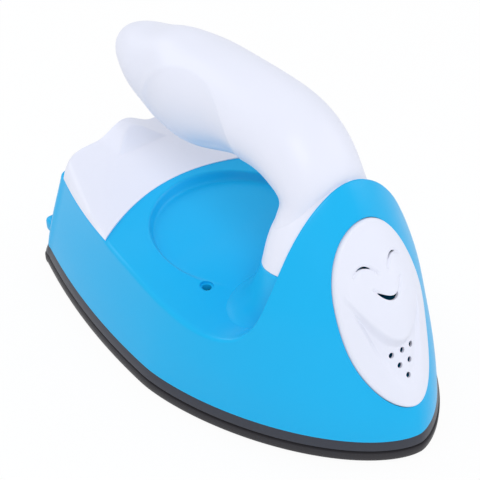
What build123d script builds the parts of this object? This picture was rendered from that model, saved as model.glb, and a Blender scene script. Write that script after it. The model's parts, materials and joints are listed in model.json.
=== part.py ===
from build123d import *
import os
from math import cos, pi, radians, sin, sqrt

# Mini craft iron. Millimetres, +Z up, nose towards -Y, sole's underside on z = 0.
# The origin is the middle of the sole's length on its underside.

# Driving sizes
half_length = 51.5
half_width = 32.4
sole_thickness = 2.3
gasket_thickness = 0.35
skirt_top = 4.9
crown_height = 52.0
arch_y = -24.7
wall = 2.0
running_gap = 0.05
fit_gap = 0.15
overrun = 1.0
far = 90.0
further = 180.0
short_cut = 9.0

# Body envelope, a stack of level outlines. Each outline is w = middle width * (1 - u**p)**q
# ahead of the widest place, with u the share of the nose's reach, and eases in behind it.
level_heights_shares = (0.0, 0.193, 0.363, 0.533, 0.724, 0.851, 0.957, 1.0)
nose_reach_shares = (0.9825, 0.9126, 0.8427, 0.7786, 0.6951, 0.5942, 0.5087, 0.4738)
middle_width_shares = (0.966, 0.9136, 0.8611, 0.8117, 0.75, 0.6636, 0.4938, 0.3704)
rear_width_shares = (0.6975, 0.6265, 0.5556, 0.4938, 0.4167, 0.3704, 0.3086, 0.2778)
rear_reach_shares = (0.9903, 0.9825, 0.9748, 0.9612, 0.9476, 0.9379, 0.932, 0.9223)
round_powers_shares = (1.9, 1.95, 2.0, 2.0, 2.0, 2.0, 2.0, 2.0)
full_powers_shares = (0.72, 0.64, 0.58, 0.56, 0.58, 0.58, 0.58, 0.58)
nose_point_shares = (0.988, 0.945, 0.84, 0.66, 0.42, 0.2, 0.0)
tail_point_shares = (0.4, 0.75)
corner_radius = 3.5

# Sole
sole_rear_share = 0.728
sole_bottom_round = 0.9
sole_top_round = 0.3
rim_share = 0.707
band_width = 5.0
gasket_inset = 0.9
skirt_inset = 0.35
lip_height = 2.2
lip_thickness = 1.6

# Saddle, the finger space's floor, seen from the side as y, z
saddle_rear_height = 25.4
saddle_middle_height = 24.0
saddle_low_height = 21.6
saddle_middle_y = 9.0
saddle_low_y = -15.0
arch_foot_height = 29.0
pocket_radius = 19.0
pocket_y = 7.0
pocket_floor = 22.1
pocket_lean = -2.1

# Rear cover and cord inlet
cover_front_y = 28.3
cover_tip_y = 19.9
cover_tip_x = 26.0
cover_seam_front = 24.4
cover_seam_rear = 22.8
cover_top_front = 25.5
cover_top_rear = 27.9
cover_wall = 1.8
deck_height = 22.6
hump_height = 30.6
hump_half_width = 7.6
hump_top_half_width = 3.6
hump_front_y = 35.5
hump_rear_y = 44.0
inlet_height = 25.9
bush_bore_radius = 2.0
bush_radius = 2.5
bush_flange_radius = 2.85
bush_flange_thickness = 1.0
bush_seat_y = 49.3
bush_inner_y = 47.4
bush_tail = 1.2
cord_hole_radius = 2.8
cord_hole_y = 38.6
clamp_y = 43.6
clamp_length = 4.4
clamp_half_width = 8.6
clamp_thickness = 1.2
clamp_arch_radius = 2.4
clamp_screw_x = 6.4
clamp_boss_radius = 2.6
clamp_boss_depth = 3.0
clamp_screw_length = 5.6

# Heel rests at the rear corners
heel_x = 18.4
heel_width = 3.8
heel_height = 4.4
heel_reach = 2.8
heel_base = 5.6

# Handle root: half ellipses on the arch plane, height, half width, reach to the rear
root_heights = (17.0, 28.0, 33.0, 38.0, 42.0, 45.5, 49.0, 51.3)
root_half_widths = (21.8, 19.0, 17.9, 16.4, 14.2, 11.0, 6.4, 1.8)
root_reaches = (18.2, 14.4, 12.9, 11.4, 10.6, 9.5, 7.0, 3.2)
root_tip_height = 38.0
root_slope = 0.585
root_floor = 2.4

# Handle horn: spine y, spine z, lean of the spine in degrees, half width, half height
horn_ys = (-18.8, -19.6, -19.6, -16.8, -11.2, -3.0, 8.0, 18.6, 27.1, 35.4, 42.6, 46.4)
horn_zs = (34.0, 41.5, 47.5, 52.0, 54.8, 55.9, 54.6, 53.0, 52.2, 51.9, 51.4, 51.1)
horn_leans = (92.0, 90.0, 74.0, 48.0, 25.0, 4.0, -8.0, -7.0, -4.0, -3.0, -4.0, -5.0)
horn_half_widths = (12.4, 12.0, 11.2, 10.6, 10.4, 10.5, 10.8, 10.7, 9.6, 7.8, 5.3, 2.2)
horn_half_heights = (7.6, 7.2, 7.2, 7.6, 8.4, 9.2, 10.4, 11.4, 11.0, 9.4, 7.0, 2.9)
handle_wall = 2.2
scoop_radius = 40.0
scoop_x = 48.9
scoop_y = 12.0
scoop_height = 50.0
underside_front_y = -3.0
underside_rear_y = 38.0
underside_low_y = 22.0
underside_low_height = 45.2
underside_front_height = 48.6
underside_seat = 0.9
underside_screw_ys = (9.0, 31.0)
underside_boss_radius = 3.0
underside_boss_top = 64.0
underside_hole = 30.0
underside_screw_length = 7.0
boss_x = 8.0
boss_y = -18.5
boss_radius = 3.2
boss_shank = 1.2
boss_head = 2.2
boss_head_height = 1.6
handle_screw_top = 41.0
column_foot = 26.0
handle_boss_top = 45.0

# Face plate on the nose: an oval seen square to the nose
plate_lean = 29.0
plate_low_y = -48.0
plate_low_height = 11.2
plate_length = 39.4
plate_half_width = 10.7
plate_proud = 0.7
plate_depth = 1.3
rebate_depth = 1.4
plate_egg_share = 0.1
plate_point_count = 12
plate_peg_radius = 1.1
plate_peg_x = 7.2
plate_peg_up = 21.0
plate_peg_end = 8.0
push_ring_radius = 2.4
push_ring_thickness = 0.5
push_ring_depth = 6.4
hole_radius = 0.5
hole_pitch = 2.65
hole_rows = 3
hole_top_up = 12.1
eye_x = 3.7
eye_up = 30.2
eye_half_width = 1.9
eye_rise = 1.1
mouth_half_width = 3.4
mouth_up = 25.0
mouth_drop = 1.8
slot_width = 0.55
slot_reach = 6.0
vent_half_width = 4.2
vent_low_up = 4.6
vent_high_up = 27.0

# Heater stack on the sole
stack_y = 4.0
insulator_length = 43.0
insulator_width = 14.4
upper_insulator_width = 12.0
insulator_thickness = 0.4
electrode_length = 40.0
electrode_width = 11.0
electrode_thickness = 0.4
tablet_count = 3
tablet_length = 12.0
tablet_width = 10.6
tablet_thickness = 2.4
tablet_gap = 1.2
blade_width = 4.0
blade_x = 6.6
blade_reach = 13.2
blade_height = 6.6
live_blade_y = -10.0
neutral_blade_y = 18.0
press_length = 58.0
press_width = 11.6
press_thickness = 1.0
press_corner = 2.0
press_screw_y = 25.4
post_radius = 3.0
pilot_depth = 4.6
washer_radius = 2.5
washer_thickness = 0.5
stud_depth = 1.4
press_screw_clear = 0.5

# Screws: shank radius, head radius, head height
small_shank = 1.0
small_head = 1.9
small_head_height = 1.3
body_shank = 1.2
body_head = 1.6
body_head_height = 1.3
drive_depth = 0.7
drive_width = 0.5
drive_share = 0.7

# Screw posts between body and sole
post_height = 9.2
front_screw_x = 16.7
front_screw_y = -3.0
rear_screw_x = 14.0
rear_screw_y = 41.0
tube_radius = 3.0
head_recess = 2.2
body_screw_end = 5.0

# Heat shield on its pillars
shield_half_width = 20.7
shield_corner = 5.0
shield_front_y = -26.0
shield_rear_y = 30.0
shield_tongue_half_width = 9.4
shield_tongue_y = 38.0
shield_height = 12.6
shield_thickness = 0.4
pillar_x = 12.6
pillar_front_y = -22.0
pillar_rear_y = 24.0
pillar_radius = 2.0
shield_hole_gap = 0.3
shield_screw_length = 4.5

# Fuse, its sleeve and its clip
fuse_x = 22.0
fuse_radius = 2.0
fuse_length = 11.0
fuse_cap = 0.8
fuse_neck_radius = 1.3
fuse_y = 8.5
sleeve_length = 15.0
sleeve_wall = 0.5
clip_width = 5.0
clip_thickness = 0.5
clip_foot_x = 15.4
clip_screw_x = 17.4

# Terminal block and leads
block_half_width = 8.4
block_front_y = 25.8
block_rear_y = 36.4
block_height = 5.0
block_screw_inset = 2.2
block_screw_length = 4.0
barrel_end_gap = 0.8
barrel_x = 4.0
barrel_radius = 1.7
barrel_bore = 1.05
terminal_screw_inset = 3.0
terminal_screw_radius = 0.9
terminal_well_radius = 1.1
lead_entry = 4.6
lead_radius = 0.9
lead_bend = 2.4
live_turn_y = 20.0
connector_start = 8.2
connector_length = 6.4
connector_width = 5.4
connector_height = 2.2

cover_screw_x = 16.6
cover_screw_y = 32.0
cover_boss_radius = 2.6
cover_screw_length = 4.0

os.makedirs("parts", exist_ok=True)


def save(piece, name):
    """Label one finished piece and write it."""
    piece.label = name
    export_step(piece, f"parts/{name}.step")


def share_at(height, shares):
    """Read a level table between its heights, running on past its ends."""
    place = (height - skirt_top) / (crown_height - skirt_top)
    last = len(shares) - 1
    index = 0
    while index < last - 1 and place > level_heights_shares[index + 1]:
        index += 1
    low, high = level_heights_shares[index], level_heights_shares[index + 1]
    part = (place - low) / (high - low)
    return shares[index] + (shares[index + 1] - shares[index]) * part


class Level:
    """The outline's sizes at one height, grown outwards by a length."""

    def __init__(self, height, grow=0):
        self.height = height
        self.nose = half_length * share_at(height, nose_reach_shares) + grow
        self.middle = half_width * share_at(height, middle_width_shares) + grow
        self.rear_width = half_width * share_at(height, rear_width_shares) + grow
        self.rear = half_length * share_at(height, rear_reach_shares) + grow
        self.round_power = share_at(height, round_powers_shares)
        self.full_power = share_at(height, full_powers_shares)

    def side(self):
        """Points of the right side, from just behind the nose's tip to the rear corner."""
        points = []
        for part in nose_point_shares:
            width = self.middle * (1 - part**self.round_power) ** self.full_power
            points.append((width, -self.nose * part))
        corner_y = self.rear - corner_radius
        for part in tail_point_shares + (1,):
            points.append((self.width_behind(corner_y * part), corner_y * part))
        return points

    def width_behind(self, y):
        return self.middle - (self.middle - self.rear_width) * (y / self.rear) ** 2


def outline(level):
    """Close one level's outline in the current sketch: one spline round the nose, two
    corners and the rear edge."""
    right = level.side()
    left = [(-x, y) for x, y in reversed(right)]
    end_x, end_y = right[-1]
    slope = -2 * (level.middle - level.rear_width) * end_y / level.rear**2
    with BuildLine() as loop:
        Spline(*left, (0, -level.nose), *right, tangents=[(slope, -1), (slope, 1)])
        Spline((end_x, end_y), (end_x - corner_radius, level.rear), tangents=[(slope, 1), (-1, 0)])
        Line((end_x - corner_radius, level.rear), (corner_radius - end_x, level.rear))
        Spline((corner_radius - end_x, level.rear), (-end_x, end_y), tangents=[(-1, 0), (slope, -1)])
    make_face(loop.edges())


def envelope(grow=0, low=skirt_top, high=crown_height):
    """The body's outer form as a loft through its levels, from low to high."""
    heights = [low]
    for part in level_heights_shares:
        height = skirt_top + part * (crown_height - skirt_top)
        if low + overrun < height < high - overrun:
            heights.append(height)
    heights.append(high)
    with BuildPart() as form:
        for height in heights:
            with BuildSketch(Plane.XY.offset(height)):
                outline(Level(height, grow))
        loft()
    return form.part


def root_form(grow=0):
    """The handle root and its pedestal: half ellipses that shrink as they rise."""
    with BuildPart() as form:
        for height, half, reach in zip(root_heights, root_half_widths, root_reaches):
            with BuildSketch(Plane.XY.offset(height)):
                with Locations((0, arch_y)):
                    Ellipse(max(half + grow, wall / 2), max(reach + grow, wall / 2))
        loft()
    return form.part


def horn_form(grow=0):
    """The handle's horn: ellipses set square to a curved spine."""
    with BuildPart() as form:
        rings = zip(horn_ys, horn_zs, horn_leans, horn_half_widths, horn_half_heights)
        for y, z, lean, half, tall in rings:
            if grow < 0 and half + grow < wall:
                break
            along = (0, cos(radians(lean)), sin(radians(lean)))
            with BuildSketch(Plane(origin=(0, y, z), x_dir=(1, 0, 0), z_dir=along)):
                Ellipse(half + grow, tall + grow)
        loft()
    return form.part


def side_extrusion(points):
    """A solid across the whole width whose side view is a closed outline of y, z points."""
    with BuildPart() as form:
        with BuildSketch(Plane.YZ):
            Polygon(*points, align=None)
        extrude(amount=far, both=True)
    return form.part


def finger_space(grow=0):
    """What is open over the saddle: the space seen from the side and the finger pocket."""
    with BuildPart() as form:
        with BuildSketch(Plane.YZ):
            with BuildLine():
                start = (arch_y - grow, arch_foot_height)
                end = (cover_front_y, saddle_rear_height - grow)
                Spline(
                    start,
                    (saddle_low_y, saddle_low_height - grow),
                    (saddle_middle_y, saddle_middle_height - grow),
                    end,
                    tangents=[(0, -1), (1, 0)],
                )
                Polyline(end, (far, saddle_rear_height - grow), (far, far), (arch_y - grow, far), start)
            make_face()
        extrude(amount=far, both=True)
        lean = radians(pocket_lean)
        floor = Plane(
            origin=(0, pocket_y, pocket_floor - grow), x_dir=(1, 0, 0), z_dir=(0, sin(lean), cos(lean))
        )
        with BuildSketch(floor):
            Circle(pocket_radius + grow)
        extrude(amount=pocket_radius)
    return form.part


def seam_line(y, gap=0):
    """Height of the seam between body and rear cover."""
    slope = (cover_seam_rear - cover_seam_front) / (half_length - cover_tip_y)
    return cover_seam_front + slope * (y - cover_tip_y) + gap


def cover_line(y, drop=0):
    """Height of the rear cover's top."""
    slope = (cover_top_rear - cover_top_front) / (half_length - cover_front_y)
    return cover_top_front + slope * (y - cover_front_y) - drop


def blunt_line(y, gap=0):
    """Height of the blunt joint between the handle's root and its pedestal."""
    return root_tip_height - root_slope * (y - arch_y) + gap


def behind_arc(gap=0, low=deck_height, high=far):
    """Everything behind the rear cover's curved front edge."""
    sagitta = cover_front_y - cover_tip_y
    radius = (cover_tip_x**2 + sagitta**2) / (2 * sagitta) + gap
    middle = cover_front_y + gap - radius
    side_y = middle + sqrt(radius**2 - half_width**2)
    with BuildPart() as form:
        with BuildSketch(Plane.XY.offset(low)):
            with BuildLine():
                ThreePointArc((-half_width, side_y), (0, cover_front_y + gap), (half_width, side_y))
                Polyline((half_width, side_y), (half_width, far), (-half_width, far), (-half_width, side_y))
            make_face()
        extrude(amount=high - low)
    return form.part


def above_seam(gap=0):
    return side_extrusion([(0, seam_line(0, gap)), (far, seam_line(far, gap)), (far, far), (0, far)])


def under_cover_top(drop=0):
    return side_extrusion([(0, 0), (far, 0), (far, cover_line(far, drop)), (0, cover_line(0, drop))])


def hump_form(shrink=0):
    """The raised cord exit: a trapezium ridge with a sloped front facet."""
    low = deck_height
    top = hump_height - shrink
    foot_half = hump_half_width - shrink
    top_half = hump_top_half_width - shrink / 2
    rise = (hump_height - cover_line(hump_front_y)) / (hump_rear_y - hump_front_y)
    front = hump_front_y + shrink
    with BuildPart() as form:
        with BuildSketch(Plane.XZ.offset(-hump_front_y)):
            Polygon(
                (-foot_half, low), (-foot_half, cover_line(hump_rear_y, shrink)), (-top_half, top),
                (top_half, top), (foot_half, cover_line(hump_rear_y, shrink)), (foot_half, low), align=None,
            )
        extrude(amount=hump_front_y - half_length)
        facet = [
            (front, low), (front, cover_line(hump_front_y, shrink)),
            (far, cover_line(hump_front_y, shrink) + rise * (far - front)), (far, low),
        ]
        add(side_extrusion(facet), mode=Mode.INTERSECT)
    return form.part


def plate_plane():
    """The face plate's own plane: origin at its low tip, up along the nose, facing forward."""
    lean = radians(plate_lean)
    return Plane(
        origin=(0, plate_low_y, plate_low_height), x_dir=(1, 0, 0), z_dir=(0, -cos(lean), sin(lean))
    )


def plate_prism(grow=0):
    """The face plate's egg outline, carried through the nose."""
    half = plate_length / 2
    with BuildPart() as form:
        with BuildSketch(plate_plane()):
            with BuildLine():
                points = []
                for step in range(plate_point_count):
                    turn = 2 * pi * step / plate_point_count
                    width = (plate_half_width + grow) * cos(turn) * (1 + plate_egg_share * sin(turn))
                    points.append((width, half + (half + grow) * sin(turn)))
                Spline(*points, periodic=True)
            make_face()
        extrude(amount=plate_length / 2, both=True)
    return form.part


def half_space(y):
    """Everything behind a plane across the body."""
    return side_extrusion([(y, -far), (far, -far), (far, far), (y, far)])


def place_screw(x, y, seat, end, shank, head, head_height, driver=drive_depth):
    """One screw with its head on a seat and its end above or below it, with a cross recess."""
    way = 1 if end < seat else -1
    with Locations((x, y, (seat + end) / 2)):
        Cylinder(shank, abs(seat - end))
    with Locations((x, y, seat + way * head_height / 2)):
        Cylinder(head, head_height)
    with Locations((x, y, seat + way * (head_height - driver / 2))):
        Box(2 * head * drive_share, drive_width, driver, mode=Mode.SUBTRACT)
        Box(drive_width, 2 * head * drive_share, driver, mode=Mode.SUBTRACT)


def sole_level(grow=0):
    """The sole's outline, the widest of all."""
    level = Level(skirt_top, grow)
    level.nose = half_length + grow
    level.middle = half_width + grow
    level.rear_width = half_width * sole_rear_share + grow
    level.rear = half_length + grow
    return level


def sole_prism(grow, low, high):
    """A straight-sided plate with the sole's outline."""
    with BuildPart() as form:
        with BuildSketch(Plane.XY.offset(low)):
            outline(sole_level(grow))
        extrude(amount=high - low)
    return form.part


def lead(points, name):
    """An insulated lead along straight runs with rounded turns."""
    with BuildPart() as wire:
        with BuildLine() as route:
            FilletPolyline(*points, radius=lead_bend)
        with BuildSketch(Plane(origin=points[0], z_dir=route.line % 0)):
            Circle(lead_radius)
        sweep(path=route.line)
    save(wire.part, name)


# Screw places
front_screws = [(-front_screw_x, front_screw_y), (front_screw_x, front_screw_y)]
rear_screws = [(-rear_screw_x, rear_screw_y), (rear_screw_x, rear_screw_y)]
press_screws = [(0, stack_y - press_screw_y), (0, stack_y + press_screw_y)]
pillars = [(x, y) for x in (-pillar_x, pillar_x) for y in (pillar_front_y, pillar_rear_y)]
cover_screws = [(-cover_screw_x, cover_screw_y), (cover_screw_x, cover_screw_y)]
handle_screws = [(-boss_x, boss_y), (boss_x, boss_y)]
clamp_screws = [(-clamp_screw_x, clamp_y), (clamp_screw_x, clamp_y)]

# The sole's rounded rim as height and how far its outline is grown
sole_edge_rows = [
    (0, -sole_bottom_round),
    (sole_bottom_round * (1 - rim_share), -sole_bottom_round * (1 - rim_share)),
    (sole_bottom_round, 0),
    (sole_thickness - sole_top_round, 0),
    (sole_thickness, -sole_top_round),
]

# Stack heights, from the sole up
gasket_top = sole_thickness + gasket_thickness
lower_insulator_top = sole_thickness + insulator_thickness
lower_electrode_top = lower_insulator_top + electrode_thickness
tablet_top = lower_electrode_top + tablet_thickness
upper_electrode_top = tablet_top + electrode_thickness
upper_insulator_top = upper_electrode_top + insulator_thickness
press_top = upper_insulator_top + press_thickness
shield_top = shield_height + shield_thickness
block_top = shield_top + block_height
barrel_height = shield_top + block_height / 2

# Soleplate with its screw posts
with BuildPart() as soleplate:
    for height, grow in sole_edge_rows:
        with BuildSketch(Plane.XY.offset(height)):
            outline(sole_level(grow))
    loft(ruled=True)
    for x, y in front_screws + rear_screws:
        with Locations((x, y, (sole_thickness + post_height) / 2)):
            Cylinder(post_radius, post_height - sole_thickness)
        with Locations((x, y, post_height - pilot_depth / 2)):
            Cylinder(body_shank + running_gap, pilot_depth, mode=Mode.SUBTRACT)
    for x, y in press_screws:
        with Locations((x, y, (sole_thickness + upper_insulator_top) / 2)):
            Cylinder(post_radius, upper_insulator_top - sole_thickness)
        with Locations((x, y, upper_insulator_top - pilot_depth / 2)):
            Cylinder(small_shank + running_gap, pilot_depth, mode=Mode.SUBTRACT)
    for x, y in pillars + [(clip_screw_x, fuse_y)]:
        with Locations((x, y, sole_thickness - stud_depth / 2)):
            Cylinder(small_shank + running_gap, stud_depth, mode=Mode.SUBTRACT)
save(soleplate.part, "soleplate")

# Sole gasket
with BuildPart() as sole_gasket:
    add(sole_prism(-gasket_inset, sole_thickness, gasket_top))
    add(sole_prism(-band_width, 0, skirt_top), mode=Mode.SUBTRACT)
save(sole_gasket.part, "sole_gasket")

# Base skirt with its locating lip
with BuildPart() as base_skirt:
    with BuildSketch(Plane.XY.offset(gasket_top)):
        outline(sole_level(-skirt_inset))
    with BuildSketch(Plane.XY.offset(skirt_top)):
        outline(Level(skirt_top))
    loft()
    lip_form = envelope(-wall - fit_gap, skirt_top - overrun, crown_height - overrun)
    add(lip_form & sole_prism(0, skirt_top, skirt_top + lip_height))
    add(sole_prism(-band_width - lip_thickness, 0, skirt_top + lip_height + overrun), mode=Mode.SUBTRACT)
save(base_skirt.part, "base_skirt")

# Forms that several pieces are cut from
outer_form = envelope()
open_space = finger_space()
inner_form = envelope(-wall, skirt_top - overrun, crown_height - overrun)
rebate_form = envelope(-rebate_depth)
below_blunt = side_extrusion([(-far, -far), (-far, blunt_line(-far)), (far, blunt_line(far)), (far, -far)])
below_floor = side_extrusion(
    [(-far, -far), (-far, blunt_line(-far, -root_floor)), (far, blunt_line(far, -root_floor)), (far, -far)]
)
front_seat = saddle_low_height - head_recess
rear_seat = deck_height - head_recess

# Body shell, hollow from below
with BuildPart() as cavity:
    add(inner_form)
    add(finger_space(wall), mode=Mode.SUBTRACT)
    add(behind_arc(-wall, deck_height - wall), mode=Mode.SUBTRACT)
    add(root_form(-wall) & below_floor)
    add(plate_prism(wall) - envelope(-rebate_depth - wall), mode=Mode.SUBTRACT)
with BuildPart() as body_shell:
    add(outer_form)
    add(open_space, mode=Mode.SUBTRACT)
    add(behind_arc() & above_seam(), mode=Mode.SUBTRACT)
    add(root_form() & half_space(arch_y - overrun) & below_blunt)
    add(cavity.part, mode=Mode.SUBTRACT)
    add(inner_form & behind_arc(wall + cover_wall), mode=Mode.SUBTRACT)
    add(plate_prism(fit_gap) - rebate_form, mode=Mode.SUBTRACT)
    heel_y = Level(heel_base).rear + (heel_reach - overrun) / 2
    for x in (-heel_x, heel_x):
        with Locations((x, heel_y, heel_base + heel_height / 2)):
            Box(heel_width, heel_reach + overrun, heel_height)
    foot = post_height + running_gap
    for x, y in front_screws:
        top = saddle_low_height - wall / 2
        tube = Pos(x, y, (foot + top) / 2) * Cylinder(tube_radius, top - foot, mode=Mode.PRIVATE)
        add(tube - open_space)
        with Locations((x, y, (foot + top) / 2)):
            Cylinder(body_shank + fit_gap, top - foot + overrun, mode=Mode.SUBTRACT)
        with Locations((x, y, front_seat + far / 2)):
            Cylinder(body_head + fit_gap, far, mode=Mode.SUBTRACT)
    for x, y in rear_screws:
        top = deck_height - wall / 2
        with Locations((x, y, (foot + top) / 2)):
            Cylinder(tube_radius, top - foot)
        with Locations((x, y, (foot + top) / 2)):
            Cylinder(body_shank + fit_gap, top - foot + overrun, mode=Mode.SUBTRACT)
        with Locations((x, y, rear_seat + far / 2)):
            Cylinder(body_head + fit_gap, far, mode=Mode.SUBTRACT)
    for x, y in cover_screws:
        with Locations((x, y, deck_height)):
            Cylinder(small_shank + fit_gap, 2 * wall + overrun, mode=Mode.SUBTRACT)
    for x, y in clamp_screws:
        with Locations((x, y, deck_height - (wall + clamp_boss_depth) / 2 - overrun / 2)):
            Cylinder(clamp_boss_radius, wall + clamp_boss_depth - overrun)
            Cylinder(small_shank + running_gap, short_cut, mode=Mode.SUBTRACT)
    with Locations((0, cord_hole_y, deck_height)):
        Cylinder(cord_hole_radius, 2 * wall + overrun, mode=Mode.SUBTRACT)
    column_top = blunt_line(arch_y)
    column = Cylinder(boss_radius, column_top - column_foot, mode=Mode.PRIVATE)
    for x, y in handle_screws:
        add(Pos(x, y, (column_foot + column_top) / 2) * column & below_blunt)
    for x, y in handle_screws:
        with Locations((x, y, (column_foot + column_top) / 2)):
            Cylinder(boss_shank + fit_gap, column_top - column_foot + overrun, mode=Mode.SUBTRACT)
    with BuildSketch(plate_plane()):
        with Locations((0, (vent_low_up + vent_high_up) / 2)):
            RectangleRounded(2 * vent_half_width, vent_high_up - vent_low_up, vent_half_width - overrun)
    extrude(amount=slot_reach, both=True, mode=Mode.SUBTRACT)
    with BuildSketch(plate_plane()):
        with Locations((-plate_peg_x, plate_peg_up), (plate_peg_x, plate_peg_up)):
            Circle(plate_peg_radius + fit_gap)
    extrude(amount=plate_peg_end, both=True, mode=Mode.SUBTRACT)
save(body_shell.part, "body_shell")

# Rear cover with the cord exit hump
with BuildPart() as cover_inside:
    behind_front = behind_arc(cover_wall + running_gap, seam_line(half_length) - overrun)
    add(inner_form & behind_front & under_cover_top(cover_wall))
    add(hump_form(cover_wall) & inner_form)
with BuildPart() as rear_cover:
    add(outer_form & behind_arc(running_gap, seam_line(half_length) - overrun) & under_cover_top())
    add(hump_form() & outer_form)
    add(above_seam(running_gap), mode=Mode.INTERSECT)
    add(cover_inside.part, mode=Mode.SUBTRACT)
    for x, y in cover_screws:
        low = deck_height + running_gap
        top = cover_line(y, cover_wall / 2)
        with Locations((x, y, (low + top) / 2)):
            Cylinder(cover_boss_radius, top - low)
        with Locations((x, y, low)):
            depth = cover_screw_length - wall + running_gap
            Cylinder(small_shank + running_gap, 2 * depth, mode=Mode.SUBTRACT)
    with Locations(Location((0, bush_seat_y, inlet_height), (90, 0, 0))):
        Cylinder(bush_radius + running_gap, short_cut, mode=Mode.SUBTRACT)
    with Locations(Location((0, bush_seat_y + far / 2, inlet_height), (90, 0, 0))):
        Cylinder(bush_flange_radius + running_gap, far, mode=Mode.SUBTRACT)
save(rear_cover.part, "rear_cover")

# Cord inlet bush, bored for a round cord
with BuildPart() as cord_inlet_bush:
    rows = [
        (bush_inner_y - bush_flange_thickness, bush_inner_y, bush_flange_radius),
        (bush_inner_y, bush_seat_y, bush_radius),
        (bush_seat_y + running_gap, bush_seat_y + running_gap + bush_flange_thickness, bush_flange_radius),
        (bush_seat_y - running_gap, bush_seat_y + bush_tail + bush_flange_thickness, bush_radius),
    ]
    for low, high, radius in rows:
        with Locations(Location((0, (low + high) / 2, inlet_height), (90, 0, 0))):
            Cylinder(radius, high - low)
    with Locations(Location((0, bush_seat_y, inlet_height), (90, 0, 0))):
        Cylinder(bush_bore_radius, short_cut, mode=Mode.SUBTRACT)
save(cord_inlet_bush.part, "cord_inlet_bush")

# Cord clamp on the deck
with BuildPart() as cord_clamp_bar:
    with Locations((0, clamp_y, deck_height + clamp_thickness / 2)):
        Box(2 * clamp_half_width, clamp_length, clamp_thickness)
    with Locations(Location((0, clamp_y, deck_height), (90, 0, 0))):
        Cylinder(clamp_arch_radius + clamp_thickness, clamp_length)
        Cylinder(clamp_arch_radius, 2 * clamp_length, mode=Mode.SUBTRACT)
    with Locations((0, clamp_y, deck_height - far / 2)):
        Box(far, far, far, mode=Mode.SUBTRACT)
    for x, y in clamp_screws:
        with Locations((x, y, deck_height)):
            Cylinder(small_shank + fit_gap, short_cut, mode=Mode.SUBTRACT)
save(cord_clamp_bar.part, "cord_clamp_bar")

# Handle shell, hollow, and the insert that closes it from below
def parting_height(y):
    rise = (underside_front_height - underside_low_height) / (underside_front_y - underside_low_y) ** 2
    return underside_low_height + rise * (y - underside_low_y) ** 2


def underside_region(gap=0):
    """What lies below the handle's parting line, between the insert's two ends."""
    front, rear = underside_front_y + gap, underside_rear_y - gap
    places = [front, (front + underside_low_y) / 2, underside_low_y, rear]
    with BuildPart() as form:
        with BuildSketch(Plane.YZ):
            with BuildLine():
                Spline(*[(y, parting_height(y) - gap) for y in places])
                front_top, rear_top = parting_height(front) - gap, parting_height(rear) - gap
                Polyline((rear, rear_top), (rear, 0), (front, 0), (front, front_top))
            make_face()
        extrude(amount=far, both=True)
    return form.part


scoops = [Pos(x, scoop_y, scoop_height) * Sphere(scoop_radius) for x in (-scoop_x, scoop_x)]
deep_radius = scoop_radius + handle_wall
deep_scoops = [Pos(x, scoop_y, scoop_height) * Sphere(deep_radius) for x in (-scoop_x, scoop_x)]
above_blunt = side_extrusion(
    [(-far, blunt_line(-far, running_gap)), (far, blunt_line(far, running_gap)), (far, far), (-far, further)]
)
above_root = side_extrusion(
    [(-far, blunt_line(-far, handle_wall)), (far, blunt_line(far, handle_wall)), (far, far), (-far, further)]
)
with BuildPart() as handle_form:
    add(horn_form())
    add(root_form())
    add(half_space(arch_y + running_gap), mode=Mode.INTERSECT)
    add(above_blunt, mode=Mode.INTERSECT)
    for scoop in scoops:
        add(scoop, mode=Mode.SUBTRACT)
with BuildPart() as handle_inside:
    add(horn_form(-handle_wall))
    add(root_form(-handle_wall))
    add(half_space(arch_y + handle_wall), mode=Mode.INTERSECT)
    add(above_root, mode=Mode.INTERSECT)
    for scoop in deep_scoops:
        add(scoop, mode=Mode.SUBTRACT)
with BuildPart() as handle_shell:
    add(handle_form.part)
    add(handle_inside.part, mode=Mode.SUBTRACT)
    for x, y in handle_screws:
        with Locations((x, y, (column_foot + handle_boss_top) / 2)):
            Cylinder(boss_radius, handle_boss_top - column_foot)
    for y in underside_screw_ys:
        with Locations((0, y, (parting_height(y) + underside_boss_top) / 2)):
            Cylinder(underside_boss_radius, underside_boss_top - parting_height(y))
    add(handle_form.part, mode=Mode.INTERSECT)
    add(underside_region(), mode=Mode.SUBTRACT)
    for x, y in handle_screws:
        with Locations((x, y, (column_foot + handle_screw_top + overrun) / 2)):
            Cylinder(boss_shank + running_gap, handle_screw_top + overrun - column_foot, mode=Mode.SUBTRACT)
    for y in underside_screw_ys:
        with Locations((0, y, parting_height(y))):
            Cylinder(small_shank + running_gap, 2 * underside_screw_length, mode=Mode.SUBTRACT)
save(handle_shell.part, "handle_shell")

with BuildPart() as handle_underside:
    add(handle_form.part)
    add(handle_inside.part, mode=Mode.SUBTRACT)
    for y in underside_screw_ys:
        with Locations((0, y, parting_height(y) - wall)):
            Cylinder(underside_boss_radius, 2 * wall)
    add(underside_region(running_gap), mode=Mode.INTERSECT)
    add(handle_form.part, mode=Mode.INTERSECT)
    for y in underside_screw_ys:
        with Locations((0, y, parting_height(y))):
            Cylinder(small_shank + fit_gap, underside_hole, mode=Mode.SUBTRACT)
        with Locations((0, y, parting_height(y) - underside_seat - far / 2)):
            Cylinder(small_head + fit_gap, far, mode=Mode.SUBTRACT)
save(handle_underside.part, "handle_underside")

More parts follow.
